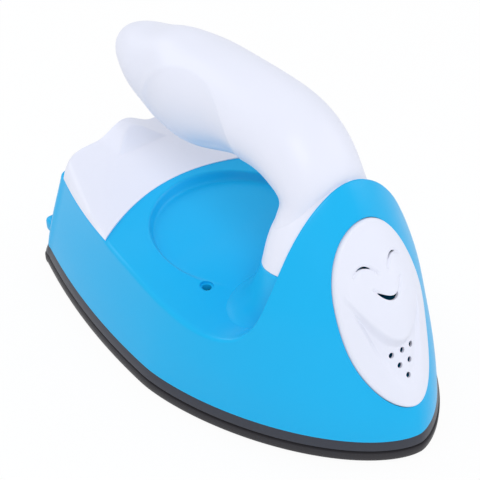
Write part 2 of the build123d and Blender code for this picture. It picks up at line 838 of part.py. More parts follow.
# Face plate: its eyes, smile and grille are cut through it
with BuildPart() as face_plate:
    add(plate_prism() & envelope(plate_proud))
    add(envelope(-plate_depth), mode=Mode.SUBTRACT)
    with BuildSketch(plate_plane().offset(-plate_depth)):
        with Locations((-plate_peg_x, plate_peg_up), (plate_peg_x, plate_peg_up)):
            Circle(plate_peg_radius)
    extrude(amount=plate_depth - plate_peg_end)
    with BuildSketch(plate_plane()):
        for x in (-eye_x, eye_x):
            left_end, right_end = (x - eye_half_width, eye_up), (x + eye_half_width, eye_up)
            arc = ThreePointArc(left_end, (x, eye_up + eye_rise), right_end, mode=Mode.PRIVATE)
            SlotArc(arc, slot_width)
        arc = ThreePointArc(
            (-mouth_half_width, mouth_up), (0, mouth_up - mouth_drop), (mouth_half_width, mouth_up),
            mode=Mode.PRIVATE,
        )
        SlotArc(arc, slot_width)
        for row in range(hole_rows):
            count = hole_rows - row
            for index in range(count):
                with Locations(((index - (count - 1) / 2) * hole_pitch, hole_top_up - row * hole_pitch)):
                    Circle(hole_radius)
    extrude(amount=slot_reach, both=True, mode=Mode.SUBTRACT)
save(face_plate.part, "face_plate")

with BuildPart() as plate_push_rings:
    with BuildSketch(plate_plane().offset(-push_ring_depth)):
        with Locations((-plate_peg_x, plate_peg_up), (plate_peg_x, plate_peg_up)):
            Circle(push_ring_radius)
            Circle(plate_peg_radius + running_gap, mode=Mode.SUBTRACT)
    extrude(amount=push_ring_thickness)
save(plate_push_rings.part, "plate_push_rings")

# Heater stack, from the sole up
with BuildPart() as lower_insulator:
    with BuildSketch(Plane.XY.offset(sole_thickness)):
        with Locations((0, stack_y)):
            Rectangle(insulator_width, insulator_length)
    extrude(amount=insulator_thickness)
save(lower_insulator.part, "lower_insulator")


def electrode(low, side, blade_y, name):
    """One electrode strip with a leg that carries its tab blade clear of the stack."""
    with BuildPart() as strip:
        with Locations((0, stack_y, low + electrode_thickness / 2)):
            Box(electrode_width, electrode_length, electrode_thickness)
        with Locations((side * blade_x / 2, blade_y, low + electrode_thickness / 2)):
            Box(blade_x, blade_width, electrode_thickness)
        with Locations((side * (blade_x - electrode_thickness / 2), blade_y, (low + blade_height) / 2)):
            Box(electrode_thickness, blade_width, blade_height - low)
        blade_start = blade_x - electrode_thickness
        blade_middle = side * (blade_start + blade_reach) / 2
        with Locations((blade_middle, blade_y, blade_height - electrode_thickness / 2)):
            Box(blade_reach - blade_start, blade_width, electrode_thickness)
    save(strip.part, name)


electrode(lower_insulator_top, 1, live_blade_y, "lower_electrode")
with BuildPart() as ptc_tablets:
    with Locations((0, stack_y, (lower_electrode_top + tablet_top) / 2)):
        with GridLocations(0, tablet_length + tablet_gap, 1, tablet_count):
            Box(tablet_width, tablet_length, tablet_thickness)
save(ptc_tablets.part, "ptc_tablets")
electrode(tablet_top, -1, neutral_blade_y, "upper_electrode")

with BuildPart() as upper_insulator:
    with BuildSketch(Plane.XY.offset(upper_electrode_top)):
        with Locations((0, stack_y)):
            Rectangle(upper_insulator_width, insulator_length)
    extrude(amount=insulator_thickness)
save(upper_insulator.part, "upper_insulator")

with BuildPart() as pressure_plate:
    with BuildSketch(Plane.XY.offset(upper_insulator_top)):
        with Locations((0, stack_y)):
            RectangleRounded(press_width, press_length, press_corner)
        with Locations(press_screws):
            Circle(small_shank + fit_gap, mode=Mode.SUBTRACT)
    extrude(amount=press_thickness)
save(pressure_plate.part, "pressure_plate")

with BuildPart() as pressure_washers:
    with BuildSketch(Plane.XY.offset(press_top)):
        with Locations(press_screws):
            Circle(washer_radius)
            Circle(small_shank + fit_gap, mode=Mode.SUBTRACT)
    extrude(amount=washer_thickness)
save(pressure_washers.part, "pressure_washers")

with BuildPart() as pressure_screws:
    for x, y in press_screws:
        seat = press_top + washer_thickness
        end = upper_insulator_top - pilot_depth + press_screw_clear
        place_screw(x, y, seat, end, small_shank, small_head, small_head_height)
save(pressure_screws.part, "pressure_screws")

# Heat shield on its pillars
with BuildPart() as shield_pillars:
    for x, y in pillars:
        with Locations((x, y, (sole_thickness + shield_height) / 2)):
            Cylinder(pillar_radius, shield_height - sole_thickness)
        with Locations((x, y, sole_thickness - (stud_depth - running_gap) / 2)):
            Cylinder(small_shank, stud_depth - running_gap)
        with Locations((x, y, shield_height - shield_screw_length / 2)):
            Cylinder(small_shank + running_gap, shield_screw_length, mode=Mode.SUBTRACT)
save(shield_pillars.part, "shield_pillars")

block_screw_places = [(0, block_front_y + block_screw_inset), (0, block_rear_y - block_screw_inset)]
with BuildPart() as heat_shield:
    with BuildSketch(Plane.XY.offset(shield_height)):
        with Locations((0, (shield_front_y + shield_rear_y) / 2)):
            RectangleRounded(2 * shield_half_width, shield_rear_y - shield_front_y, shield_corner)
        with Locations((0, (shield_rear_y + shield_tongue_y) / 2 - shield_corner / 2)):
            Rectangle(2 * shield_tongue_half_width, shield_tongue_y - shield_rear_y + shield_corner)
        with Locations(front_screws):
            Circle(tube_radius + shield_hole_gap, mode=Mode.SUBTRACT)
        with Locations(pillars + block_screw_places):
            Circle(small_shank + fit_gap, mode=Mode.SUBTRACT)
    extrude(amount=shield_thickness)
save(heat_shield.part, "heat_shield")

with BuildPart() as shield_screws:
    for x, y in pillars:
        end = shield_top - shield_screw_length
        place_screw(x, y, shield_top, end, small_shank, small_head, small_head_height)
save(shield_screws.part, "shield_screws")

# Thermal fuse in its sleeve, held by a clip
lead_height = blade_height - electrode_thickness / 2
fuse_turn = (90, 0, 0)
with BuildPart() as thermal_fuse:
    with Locations(Location((fuse_x, fuse_y, lead_height), fuse_turn)):
        Cylinder(fuse_radius, fuse_length - 2 * fuse_cap)
        Cylinder(fuse_neck_radius, fuse_length)
save(thermal_fuse.part, "thermal_fuse")

with BuildPart() as fuse_sleeve:
    with Locations(Location((fuse_x, fuse_y, lead_height), fuse_turn)):
        Cylinder(fuse_radius + running_gap + sleeve_wall, sleeve_length)
        Cylinder(fuse_radius + running_gap, sleeve_length, mode=Mode.SUBTRACT)
save(fuse_sleeve.part, "fuse_sleeve")

sleeve_radius = fuse_radius + sleeve_wall + 2 * running_gap
with BuildPart() as fuse_clip:
    with Locations(Location((fuse_x, fuse_y, lead_height), fuse_turn)):
        Cylinder(sleeve_radius + clip_thickness, clip_width)
    with Locations((fuse_x, fuse_y, (sole_thickness + lead_height) / 2)):
        Box(clip_thickness, clip_width, lead_height - sole_thickness)
    with Locations(Location((fuse_x, fuse_y, lead_height), fuse_turn)):
        Cylinder(sleeve_radius, 2 * clip_width, mode=Mode.SUBTRACT)
    foot_end = fuse_x + clip_thickness / 2
    with Locations(((clip_foot_x + foot_end) / 2, fuse_y, sole_thickness + clip_thickness / 2)):
        Box(foot_end - clip_foot_x, clip_width, clip_thickness)
    with Locations((clip_screw_x, fuse_y, sole_thickness)):
        Cylinder(small_shank + fit_gap, clip_width, mode=Mode.SUBTRACT)
save(fuse_clip.part, "fuse_clip")

with BuildPart() as fuse_clip_screw:
    end = sole_thickness - stud_depth + running_gap
    seat = sole_thickness + clip_thickness
    place_screw(clip_screw_x, fuse_y, seat, end, small_shank, small_head, small_head_height)
save(fuse_clip_screw.part, "fuse_clip_screw")

# Terminal block on the shield's tongue
block_y = (block_front_y + block_rear_y) / 2
block_length = block_rear_y - block_front_y
terminal_places = [
    (x, y)
    for x in (-barrel_x, barrel_x)
    for y in (block_front_y + terminal_screw_inset, block_rear_y - terminal_screw_inset)
]
barrel_places = [Location((x, block_y, barrel_height), fuse_turn) for x in (-barrel_x, barrel_x)]
with BuildPart() as terminal_block:
    with Locations((0, block_y, (shield_top + block_top) / 2)):
        Box(2 * block_half_width, block_length, block_height)
    with Locations(barrel_places):
        Cylinder(barrel_radius + running_gap, block_length, mode=Mode.SUBTRACT)
    for x, y in terminal_places:
        with Locations((x, y, (barrel_height + block_top) / 2)):
            Cylinder(terminal_well_radius, block_top - barrel_height, mode=Mode.SUBTRACT)
    for x, y in block_screw_places:
        with Locations((x, y, shield_top + (block_screw_length + running_gap) / 2)):
            Cylinder(small_shank + running_gap, block_screw_length + running_gap, mode=Mode.SUBTRACT)
save(terminal_block.part, "terminal_block")

with BuildPart() as block_screws:
    for x, y in block_screw_places:
        place_screw(
            x, y, shield_height, shield_top + block_screw_length, small_shank, small_head, small_head_height
        )
save(block_screws.part, "block_screws")

screw_foot = barrel_height + lead_radius + running_gap
with BuildPart() as terminal_barrels:
    with Locations(barrel_places):
        Cylinder(barrel_radius, block_length - 2 * barrel_end_gap)
        Cylinder(barrel_bore, block_length, mode=Mode.SUBTRACT)
    for x, y in terminal_places:
        with Locations((x, y, (barrel_height + block_top) / 2)):
            Cylinder(terminal_screw_radius + running_gap, block_top - barrel_height, mode=Mode.SUBTRACT)
save(terminal_barrels.part, "terminal_barrels")

with BuildPart() as terminal_screws:
    for x, y in terminal_places:
        with Locations((x, y, (screw_foot + block_top) / 2)):
            Cylinder(terminal_screw_radius, block_top - screw_foot)
        with Locations((x, y, block_top - drive_depth / 2)):
            Box(2 * terminal_screw_radius, drive_width, drive_depth, mode=Mode.SUBTRACT)
save(terminal_screws.part, "terminal_screws")

# Leads and the connectors pushed on the tab blades
lead_start = block_front_y + lead_entry
connector_end = connector_start + connector_length + running_gap
fuse_end = fuse_length / 2 + running_gap
lead(
    [
        (barrel_x, lead_start, barrel_height), (barrel_x, live_turn_y, barrel_height),
        (fuse_x, live_turn_y, barrel_height), (fuse_x, live_turn_y, lead_height),
        (fuse_x, fuse_y + fuse_end, lead_height),
    ],
    "live_lead",
)
lead(
    [
        (-barrel_x, lead_start, barrel_height), (-barrel_x, neutral_blade_y, barrel_height),
        (-fuse_x, neutral_blade_y, barrel_height), (-fuse_x, neutral_blade_y, lead_height),
        (-connector_end, neutral_blade_y, lead_height),
    ],
    "neutral_lead",
)
lead(
    [
        (fuse_x, fuse_y - fuse_end, lead_height), (fuse_x, live_blade_y, lead_height),
        (connector_end, live_blade_y, lead_height),
    ],
    "fuse_lead",
)
with BuildPart() as tab_connectors:
    for side, y in ((1, live_blade_y), (-1, neutral_blade_y)):
        with Locations((side * (connector_start + connector_length / 2), y, lead_height)):
            Box(connector_length, connector_width, connector_height)
        slot_length = blade_reach - connector_start + fit_gap
        slot_height = electrode_thickness + 2 * running_gap
        with Locations((side * (connector_start + blade_reach) / 2, y, lead_height)):
            Box(slot_length, blade_width + fit_gap, slot_height, mode=Mode.SUBTRACT)
save(tab_connectors.part, "tab_connectors")

# The remaining screws
with BuildPart() as body_screws_front:
    for x, y in front_screws:
        place_screw(x, y, front_seat, body_screw_end, body_shank, body_head, body_head_height)
save(body_screws_front.part, "body_screws_front")
with BuildPart() as body_screws_rear:
    for x, y in rear_screws:
        place_screw(x, y, rear_seat, body_screw_end, body_shank, body_head, body_head_height)
save(body_screws_rear.part, "body_screws_rear")
with BuildPart() as rear_cover_screws:
    for x, y in cover_screws:
        seat = deck_height - wall
        place_screw(x, y, seat, seat + cover_screw_length, small_shank, small_head, small_head_height)
save(rear_cover_screws.part, "rear_cover_screws")
with BuildPart() as cord_clamp_screws:
    for x, y in clamp_screws:
        seat = deck_height + clamp_thickness
        place_screw(x, y, seat, seat - clamp_screw_length, small_shank, small_head, small_head_height)
save(cord_clamp_screws.part, "cord_clamp_screws")
with BuildPart() as handle_root_screws:
    for x, y in handle_screws:
        place_screw(x, y, column_foot, handle_screw_top, boss_shank, boss_head, boss_head_height)
save(handle_root_screws.part, "handle_root_screws")
with BuildPart() as underside_screws:
    for y in underside_screw_ys:
        seat = parting_height(y) - underside_seat
        place_screw(0, y, seat, seat + underside_screw_length, small_shank, small_head, small_head_height)
save(underside_screws.part, "underside_screws")
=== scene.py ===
"""A mini craft iron: a blue body with a white face plate on a metal sole, and a curved white handle.

Lengths below are in millimetres in the formulas and in metres in the meshes.
+Z is up, the nose points towards -Y, and the sole's underside is on z = 0.
"""

import json

import bpy
import numpy as np
from bpy.props import FloatProperty, FloatVectorProperty, PointerProperty
from mathutils import Matrix, Vector


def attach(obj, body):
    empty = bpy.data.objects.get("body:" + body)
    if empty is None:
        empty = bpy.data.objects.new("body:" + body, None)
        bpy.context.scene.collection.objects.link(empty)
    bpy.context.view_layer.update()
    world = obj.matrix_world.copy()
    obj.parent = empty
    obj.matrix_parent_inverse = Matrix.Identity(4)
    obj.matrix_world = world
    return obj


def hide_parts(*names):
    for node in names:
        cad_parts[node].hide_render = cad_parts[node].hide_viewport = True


bl_info = {
    "name": "Mini craft iron",
    "version": (1, 0, 0),
    "blender": (4, 2, 0),
    "location": "View3D > Sidebar > Craft iron",
    "description": "Builds the shown surfaces and finishes of a mini craft iron",
    "category": "Object",
}

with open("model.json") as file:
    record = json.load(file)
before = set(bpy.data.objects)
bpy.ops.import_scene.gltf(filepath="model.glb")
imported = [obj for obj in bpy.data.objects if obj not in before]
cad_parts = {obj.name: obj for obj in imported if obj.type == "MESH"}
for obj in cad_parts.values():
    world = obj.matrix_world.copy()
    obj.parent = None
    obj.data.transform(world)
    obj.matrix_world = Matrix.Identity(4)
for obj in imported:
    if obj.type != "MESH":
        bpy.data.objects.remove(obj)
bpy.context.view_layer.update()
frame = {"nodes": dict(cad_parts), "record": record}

# Body wall levels: height, nose reach, half width, rear half width, rear reach, roundness, fullness
WALL_LEVELS = np.array([
    (0.0, 50.9, 32.0, 24.3, 51.2, 1.6, 0.61), (4.9, 50.6, 31.3, 23.7, 51.0, 1.6, 0.61),
    (14.0, 47.3, 29.8, 21.3, 50.6, 1.85, 0.6), (22.0, 43.5, 28.3, 18.6, 50.2, 2.0, 0.58),
    (30.0, 40.4, 26.9, 16.4, 49.5, 2.0, 0.58), (39.0, 34.9, 24.8, 13.5, 48.8, 2.0, 0.6),
    (45.0, 30.3, 23.7, 12.0, 48.3, 2.0, 0.58), (48.3, 28.1, 21.8, 11.0, 48.1, 2.0, 0.56),
    (50.4, 26.6, 19.6, 10.0, 48.0, 2.0, 0.54), (51.4, 25.8, 17.9, 9.4, 47.7, 2.0, 0.52),
    (52.1, 25.2, 16.5, 9.0, 47.5, 2.0, 0.5), (52.9, 24.4, 15.0, 9.0, 47.5, 2.0, 0.5),
])
# The side view of the saddle and the hood's rear edge, from the cover's tip forwards: y, z
SADDLE_LINE = np.array([
    (28.3, 25.4), (19.9, 24.45), (11.0, 24.1), (1.9, 23.1), (-6.1, 22.1), (-12.7, 21.45),
    (-17.6, 22.0), (-21.2, 23.8), (-23.7, 27.4), (-24.6, 32.6), (-24.7, 38.0), (-24.7, 45.0), (-24.7, 51.9),
])
ARCH_Y = -24.7
SKIRT_TOP = 4.9
CROWN = 52.9
CORNER = 3.5
# The finger pocket's middle, and how far its floor rises for each millimetre towards the rear
POCKET_CENTRE = (0.0, 7.0)
POCKET_RISE = 0.0367
# The two screw holes in the saddle, each with a shallow ring round it
DECK_HOLE_X, DECK_HOLE_Y, DECK_HOLE_FLOOR = 17.3, -3.8, 19.0
DECK_HOLE_RADIUS, DECK_RING_RADIUS, DECK_RING_DEPTH = 1.0, 1.5, 0.45
# The two heel rests at the rear: middle and half sizes
REST_X, REST_Y, REST_Z = 20.3, 51.2, 7.9
REST_HALF = (2.0, 2.2, 2.0)
# Rear cover: the tip and the middle of its front arc, its back edge, its seam and its top
COVER_TIP = (26.0, 19.9)
COVER_FRONT_Y = 28.3
COVER_BACK_Y = 49.75
SEAM_HEIGHT, SEAM_FALL = 24.45, 0.0516
COVER_TOP, COVER_TOP_Y, COVER_TOP_RISE = 27.4, 49.6, 0.088
# The top falls past a slanting line across each rear corner, factor * (|x| - start) + factor * (y - start)
COVER_FALL, COVER_FALL_X, COVER_FALL_Y = 0.06, (0.809, 9.7), (0.587, 43.1)
# Its side edges roll off over a share of the height above the seam, with this limit
COVER_ROLL_SHARE, COVER_ROLL_LIMIT = 0.75, 2.4
# Behind this y its skirt leans outwards, and its closed underside ends at this point
COVER_LEAN_Y, COVER_LEAN = 46, 0.085
COVER_UNDER = (0, 40.0, 23.4)
# The ridge over the cord's exit: half its height and width, and the sloped facet that starts it
RIDGE_HALF_HEIGHT, RIDGE_HALF_WIDTH, RIDGE_START_Y, RIDGE_SLOPE = 1.45, 8.0, 42.0, 0.65
# The blunt joint under the handle's root: its height at the arch and its fall for each millimetre behind
BLUNT_HEIGHT, BLUNT_FALL = 37.3, 0.2
# The sole's outline
SOLE_HALF_WIDTH, SOLE_HALF_LENGTH = 32.4, 51.5
# Bands round the sole's outline, each a profile of height and growth
SOLE_ROUND = 0.9
SOLE_TOP_ROWS = [(2.0, 0), (2.2, -0.1), (2.3, -0.3)]
GASKET_ROWS = [(2.3, -5), (2.3, -0.9), (2.65, -0.9), (2.65, -5)]
SKIRT_ROWS = [
    (2.65, -6), (2.65, -0.6), (2.8, -0.4), (3.1, -0.35), (4.5, -0.9), (4.8, -1.0), (4.9, -1.15), (4.9, -6),
]
# Face plate: the foot of its plane, the plane's lean in degrees, the egg's half sizes and the wall
PLATE_FOOT = (0, -48.0, 11.2)
PLATE_LEAN = 29.0
PLATE_HALF_WIDTH, PLATE_HALF_HEIGHT, PLATE_WALL = 10.7, 19.7, 0.55
# Windows in the body behind the plate: place up the plane and radius
PLATE_WINDOWS = ((9.5, 4.4), (26.5, 5.2))
# The moulded face: the cheeks and the field of holes end on parabolas, foot + bend * x^2
CHEEK_HEIGHT, BOWL_FOOT, BOWL_BEND = 0.9, 13.9, 0.16
FIELD_DEPTH, FIELD_FOOT, FIELD_BEND = 0.75, 4.6, 0.3
# The grooves of the lids and the smile: depth and half width
LID_GROOVE, SMILE_GROOVE = (0.38, 0.3), (0.4, 0.32)
# The eyes, the smile and the triangle of holes in the plate's plane
EYE_X, EYE_UP, EYE_HALF, EYE_BULGE, EYE_TILT = 3.7, 29.7, 2.3, 1.5, 0.5
SMILE_UP, SMILE_HALF, SMILE_BULGE = 26.4, 3.5, -2.75
HOLE_ROWS, HOLE_TOP_UP, HOLE_ACROSS, HOLE_DOWN, HOLE_RADIUS = 3, 12.1, 2.65, 2.75, 0.6
# The grip's side scoops in the side view: middle and half sizes as y, z
SCOOP_MIDDLE = (12, 49.0)
SCOOP_HALF = (15.5, 13.2)
# The camera in radians and metres: turn and rise of its place, its roll, what it looks at and how far off
CAMERA_TURN, CAMERA_RISE, CAMERA_ROLL = -0.69315, 0.66061, 0.00139
CAMERA_TARGET, CAMERA_DISTANCE = (0, 0.0062665, 0.019834), 0.265557
# Soft lights in metres and watts: name, place, size, power
LIGHTS = (
    ("key", (-0.25, -0.35, 0.55), 0.35, 1.7),
    ("fill", (0.5, -0.25, 0.3), 0.4, 0.55),
    ("rim", (-0.15, 0.55, 0.4), 0.4, 1.0),
)
# Handle rings: y, z, lean in degrees, half width, half height, fullness below
HANDLE_RINGS = np.array([
    (-19.0, 26.0, 90, 14.4, 6.0, 0.22), (-19.3, 33.9, 92, 14.0, 5.8, 0.22),
    (-19.1, 41.4, 90, 12.6, 6.9, 0.18), (-18.7, 47.0, 74, 9.8, 6.8, 0.08),
    (-16.0, 51.2, 48, 9.7, 7.3, 0), (-10.8, 54.3, 25, 9.9, 8.5, 0),
    (-2.7, 55.4, 4, 10.3, 9.1, 0), (8.2, 54.3, -8, 10.8, 10.6, 0), (18.8, 52.4, -7, 11.7, 11.9, 0),
    (27.3, 52.2, -4, 9.4, 11.2, 0), (34.0, 52.7, -4, 8.7, 8.4, 0), (39.0, 53.0, -4, 7.1, 6.9, 0),
    (42.5, 53.3, -4, 5.5, 5.3, 0), (44.6, 53.4, -4, 4.0, 3.9, 0), (46.3, 53.6, -4, 1.9, 1.9, 0),
])
# Handle root and pedestal: height, half width, reach behind the arch, squareness
ROOT_ROWS = np.array([
    (17.0, 20.6, 18.4, 4.0), (21.5, 19.0, 16.7, 3.8), (26.0, 18.1, 14.0, 3.3), (31.0, 17.4, 12.0, 2.9),
    (36.0, 16.6, 11.0, 2.6), (40.0, 15.0, 11.8, 2.4), (44.0, 12.2, 11.4, 2.2), (47.5, 8.8, 9.2, 2.0),
    (50.0, 5.4, 5.9, 2.0), (51.5, 2.0, 3.0, 2.0),
])


class IronShape(bpy.types.PropertyGroup):
    """Sizes that a maker might change."""

    pocket_radius: FloatProperty(
        name="Pocket radius", description="Radius of the finger pocket", default=0.019, unit="LENGTH")
    pocket_floor: FloatProperty(
        name="Pocket floor", description="Height of the pocket's floor", default=0.0221, unit="LENGTH")
    rim_round: FloatProperty(
        name="Rim rounding", description="Rounding of the body's edges", default=0.0009, unit="LENGTH")
    scoop_depth: FloatProperty(
        name="Scoop depth", description="Depth of the grip's side scoops", default=0.0019, unit="LENGTH")
    plate_proud: FloatProperty(
        name="Plate height", description="How far the face plate stands out", default=0.0007, unit="LENGTH")
    slot_width: FloatProperty(
        name="Slot width", description="Width of the smile's slot", default=0.0009, unit="LENGTH")


class IronColours(bpy.types.PropertyGroup):
    """Colours of the finishes."""

    blue: FloatVectorProperty(
        name="Blue plastic", description="Body and pedestal", subtype="COLOR", size=3,
        default=(0.006, 0.42, 0.78))
    white: FloatVectorProperty(
        name="White plastic", description="Handle, rear cover and face plate", subtype="COLOR", size=3,
        default=(0.75, 0.76, 0.85))
    black: FloatVectorProperty(
        name="Black plastic", description="Skirt", subtype="COLOR", size=3,
        default=(0.045, 0.048, 0.062))
    floor: FloatVectorProperty(
        name="Floor", description="Floor of the stage", subtype="COLOR", size=3, default=(0.9, 0.9, 0.9))


# Number work shared by the surfaces


def smooth_rows(table, at):
    """Read a table's rows at any value of its first column, by a natural cubic spline: the second
    derivatives solve a banded linear system, and each span is a cubic in its own share."""
    x, y = table[:, 0], table[:, 1:]
    gap = np.diff(x)
    count = len(x)
    system = np.eye(count)
    right = np.zeros((count, y.shape[1]))
    row = np.arange(1, count - 1)
    system[row, row - 1] = gap[:-1]
    system[row, row] = 2 * (gap[:-1] + gap[1:])
    system[row, row + 1] = gap[1:]
    slope = np.diff(y, axis=0) / gap[:, None]
    right[1:-1] = 6 * np.diff(slope, axis=0)
    bend = np.linalg.solve(system, right)
    at = np.asarray(at, float)
    i = np.clip(np.searchsorted(x, at) - 1, 0, count - 2)
    h = gap[i][..., None]
    a = (x[i + 1] - at)[..., None] / h
    b = 1 - a
    value = a * y[i] + b * y[i + 1] + ((a**3 - a) * bend[i] + (b**3 - b) * bend[i + 1]) * h**2 / 6
    return np.moveaxis(value, -1, 0)


def soft_step(value, low, high):
    """0 below low, 1 above high and the cubic 3t^2 - 2t^3 between."""
    t = np.clip((value - low) / (high - low), 0, 1)
    return t * t * (3 - 2 * t)


def make_mesh(name, patches, weld=0.02):
    """Put grids of points (rows, columns, 3) in one mesh as quads, a row's end meeting its start where
    the grid is a ring, and merge what lies within the weld length."""
    points, faces, base = [], [], 0
    for grid, ring in patches:
        rows, columns = grid.shape[:2]
        index = base + np.arange(rows * columns).reshape(rows, columns)
        if ring:
            index = np.concatenate([index, index[:, :1]], axis=1)
        quad = np.stack([index[:-1, :-1], index[:-1, 1:], index[1:, 1:], index[1:, :-1]], -1).reshape(-1, 4)
        points.append(grid.reshape(-1, 3))
        faces.append(quad)
        base += rows * columns
    points = np.concatenate(points) * 0.001
    faces = np.concatenate(faces)
    mesh = bpy.data.meshes.new(name)
    mesh.from_pydata(points, [], faces.tolist())
    obj = bpy.data.objects.new(name, mesh)
    bpy.context.scene.collection.objects.link(obj)
    choose(obj)
    bpy.ops.object.mode_set(mode="EDIT")
    bpy.ops.mesh.select_all(action="SELECT")
    bpy.ops.mesh.remove_doubles(threshold=weld * 0.001)
    bpy.ops.mesh.dissolve_degenerate(threshold=1e-6)
    bpy.ops.mesh.select_all(action="SELECT")
    bpy.ops.mesh.normals_make_consistent(inside=False)
    bpy.ops.object.mode_set(mode="OBJECT")
    count = len(mesh.polygons)
    centre, normal, area = np.zeros(count * 3), np.zeros(count * 3), np.zeros(count)
    mesh.polygons.foreach_get("center", centre)
    mesh.polygons.foreach_get("normal", normal)
    mesh.polygons.foreach_get("area", area)
    centre, normal = centre.reshape(-1, 3), normal.reshape(-1, 3)
    if (((centre - centre.mean(0)) * normal).sum(1) * area).sum() < 0:
        mesh.flip_normals()
    return obj


def choose(obj):
    """Select one object alone and make it active."""
    bpy.ops.object.select_all(action="DESELECT")
    bpy.context.view_layer.objects.active = obj
    obj.select_set(True)


def finish_piece(obj, material, nodes=(), angle=35):
    """Shade a piece smooth with hard edges past an angle, give it its material and let it stand for nodes."""
    choose(obj)
    bpy.ops.object.shade_smooth_by_angle(angle=np.radians(angle))
    obj.data.materials.clear()
    obj.data.materials.append(material)
    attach(obj, "root")
    if nodes:
        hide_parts(*nodes)
    return obj


def settle(obj, kind, **values):
    """Add one modifier and apply it."""
    choose(obj)
    modifier = obj.modifiers.new(kind.title(), kind)
    for key, value in values.items():
        setattr(modifier, key, value)
    bpy.ops.object.modifier_apply(modifier=modifier.name)


def bevel(obj, width, angle):
    """Round the edges that turn past an angle in degrees."""
    settle(obj, "BEVEL", width=width, segments=3, limit_method="ANGLE", angle_limit=np.radians(angle))


def cut_with(obj, cutter):
    """Take one closed mesh out of another, then delete the cutter."""
    settle(obj, "BOOLEAN", object=cutter, operation="DIFFERENCE", solver="EXACT")
    bpy.data.objects.remove(cutter)


# The body's outer wall


def wall_half_width(y, z):
    """Half width of the wall at a place: middle * (1 - share^roundness)^fullness ahead of the middle,
    and a parabola down to the rear width behind it."""
    nose, middle, rear_half, rear, round_power, full_power = smooth_rows(WALL_LEVELS, z)
    share = np.clip(-y / nose, 0, 1)
    ahead = middle * (1 - share**round_power) ** full_power
    behind = middle - (middle - rear_half) * (y / rear) ** 2
    return np.where(y < 0, ahead, behind)


STATION_FRONT = 1 - np.linspace(0, 1, 61) ** 2.2
STATION_SIDE = np.concatenate([np.linspace(0, 0.428, 13)[1:], np.linspace(0.428, 1, 15)[1:]])
STATION_CORNER = np.linspace(0, np.pi / 2, 9)[1:]
STATION_REAR = np.linspace(0, 1, 7)[1:]
STATION_COUNT = len(STATION_FRONT) + len(STATION_SIDE) + len(STATION_CORNER) + len(STATION_REAR)
# The station at the cover's tip ends the side's first 12
STATION_TIP = len(STATION_FRONT) + 11


def wall_lines(z):
    """Points of the right side's stations at heights z (rows, stations). A station keeps its share of the
    nose's reach, then of the side's length, then its turn round the corner, then its share of the rear."""
    nose, middle, rear_half, rear, round_power, full_power = smooth_rows(WALL_LEVELS, z)
    nf, ns, nc = len(STATION_FRONT), len(STATION_SIDE), len(STATION_CORNER)
    a, b, c = slice(0, nf), slice(nf, nf + ns), slice(nf + ns, nf + ns + nc)
    d = slice(nf + ns + nc, None)
    end_y = rear - CORNER
    end_x = middle - (middle - rear_half) * (end_y / rear) ** 2
    x, y = np.zeros_like(z), np.zeros_like(z)
    y[:, a] = -nose[:, a] * STATION_FRONT
    x[:, a] = middle[:, a] * np.clip(1 - STATION_FRONT ** round_power[:, a], 0, 1) ** full_power[:, a]
    y[:, b] = end_y[:, b] * STATION_SIDE
    x[:, b] = middle[:, b] - (middle[:, b] - rear_half[:, b]) * (y[:, b] / rear[:, b]) ** 2
    x[:, c] = end_x[:, c] - CORNER + CORNER * np.cos(STATION_CORNER)
    y[:, c] = end_y[:, c] + CORNER * np.sin(STATION_CORNER)
    x[:, d] = (end_x[:, d] - CORNER) * (1 - STATION_REAR)
    y[:, d] = rear[:, d]
    return x, y


def saddle_profile():
    """The saddle's side view as a dense curve: a spline on its chord length, from the rear forwards."""
    chord = np.concatenate([[0], np.cumsum(np.hypot(*np.diff(SADDLE_LINE, axis=0).T))])
    at = np.linspace(0, chord[-1], 500)
    return smooth_rows(np.column_stack([chord, SADDLE_LINE]), at)


PROFILE_Y, PROFILE_Z = saddle_profile()
LOW = int(np.argmin(PROFILE_Z))


def saddle_height(y):
    """Height of the saddle behind its lowest point."""
    return np.interp(y, PROFILE_Y[:LOW + 1][::-1], PROFILE_Z[:LOW + 1][::-1])


def seam_height(y):
    """Height of the seam between the wall and the rear cover."""
    return SEAM_HEIGHT - SEAM_FALL * (y - COVER_TIP[1])


def cover_arc(x):
    """The y of the cover's front edge: the circle through its middle and both tips."""
    sagitta = COVER_FRONT_Y - COVER_TIP[1]
    radius = (COVER_TIP[0] ** 2 + sagitta**2) / (2 * sagitta)
    return COVER_FRONT_Y - radius + np.sqrt(radius**2 - x**2)


def wall_tops():
    """Height at which each station's line meets the saddle, the hood's rear edge or the cover's seam."""
    z = np.repeat(np.linspace(SKIRT_TOP, CROWN, 1600)[:, None], STATION_COUNT, axis=1)
    x, y = wall_lines(z)
    low_y = PROFILE_Y[LOW]
    hood = (z > PROFILE_Z[LOW]) & (y > np.interp(z, PROFILE_Z[LOW:], PROFILE_Y[LOW:]))
    top = np.where(y > COVER_TIP[1] + 0.01, z > seam_height(y), z > saddle_height(y))
    above = np.where(y < low_y, hood, top)
    return z[np.argmax(above, axis=0), 0]


def mirror_pair(grid):
    """A right-hand grid and its mirror image, turned round so that both face outwards."""
    return [grid, grid[:, ::-1] * np.array([-1, 1, 1])]


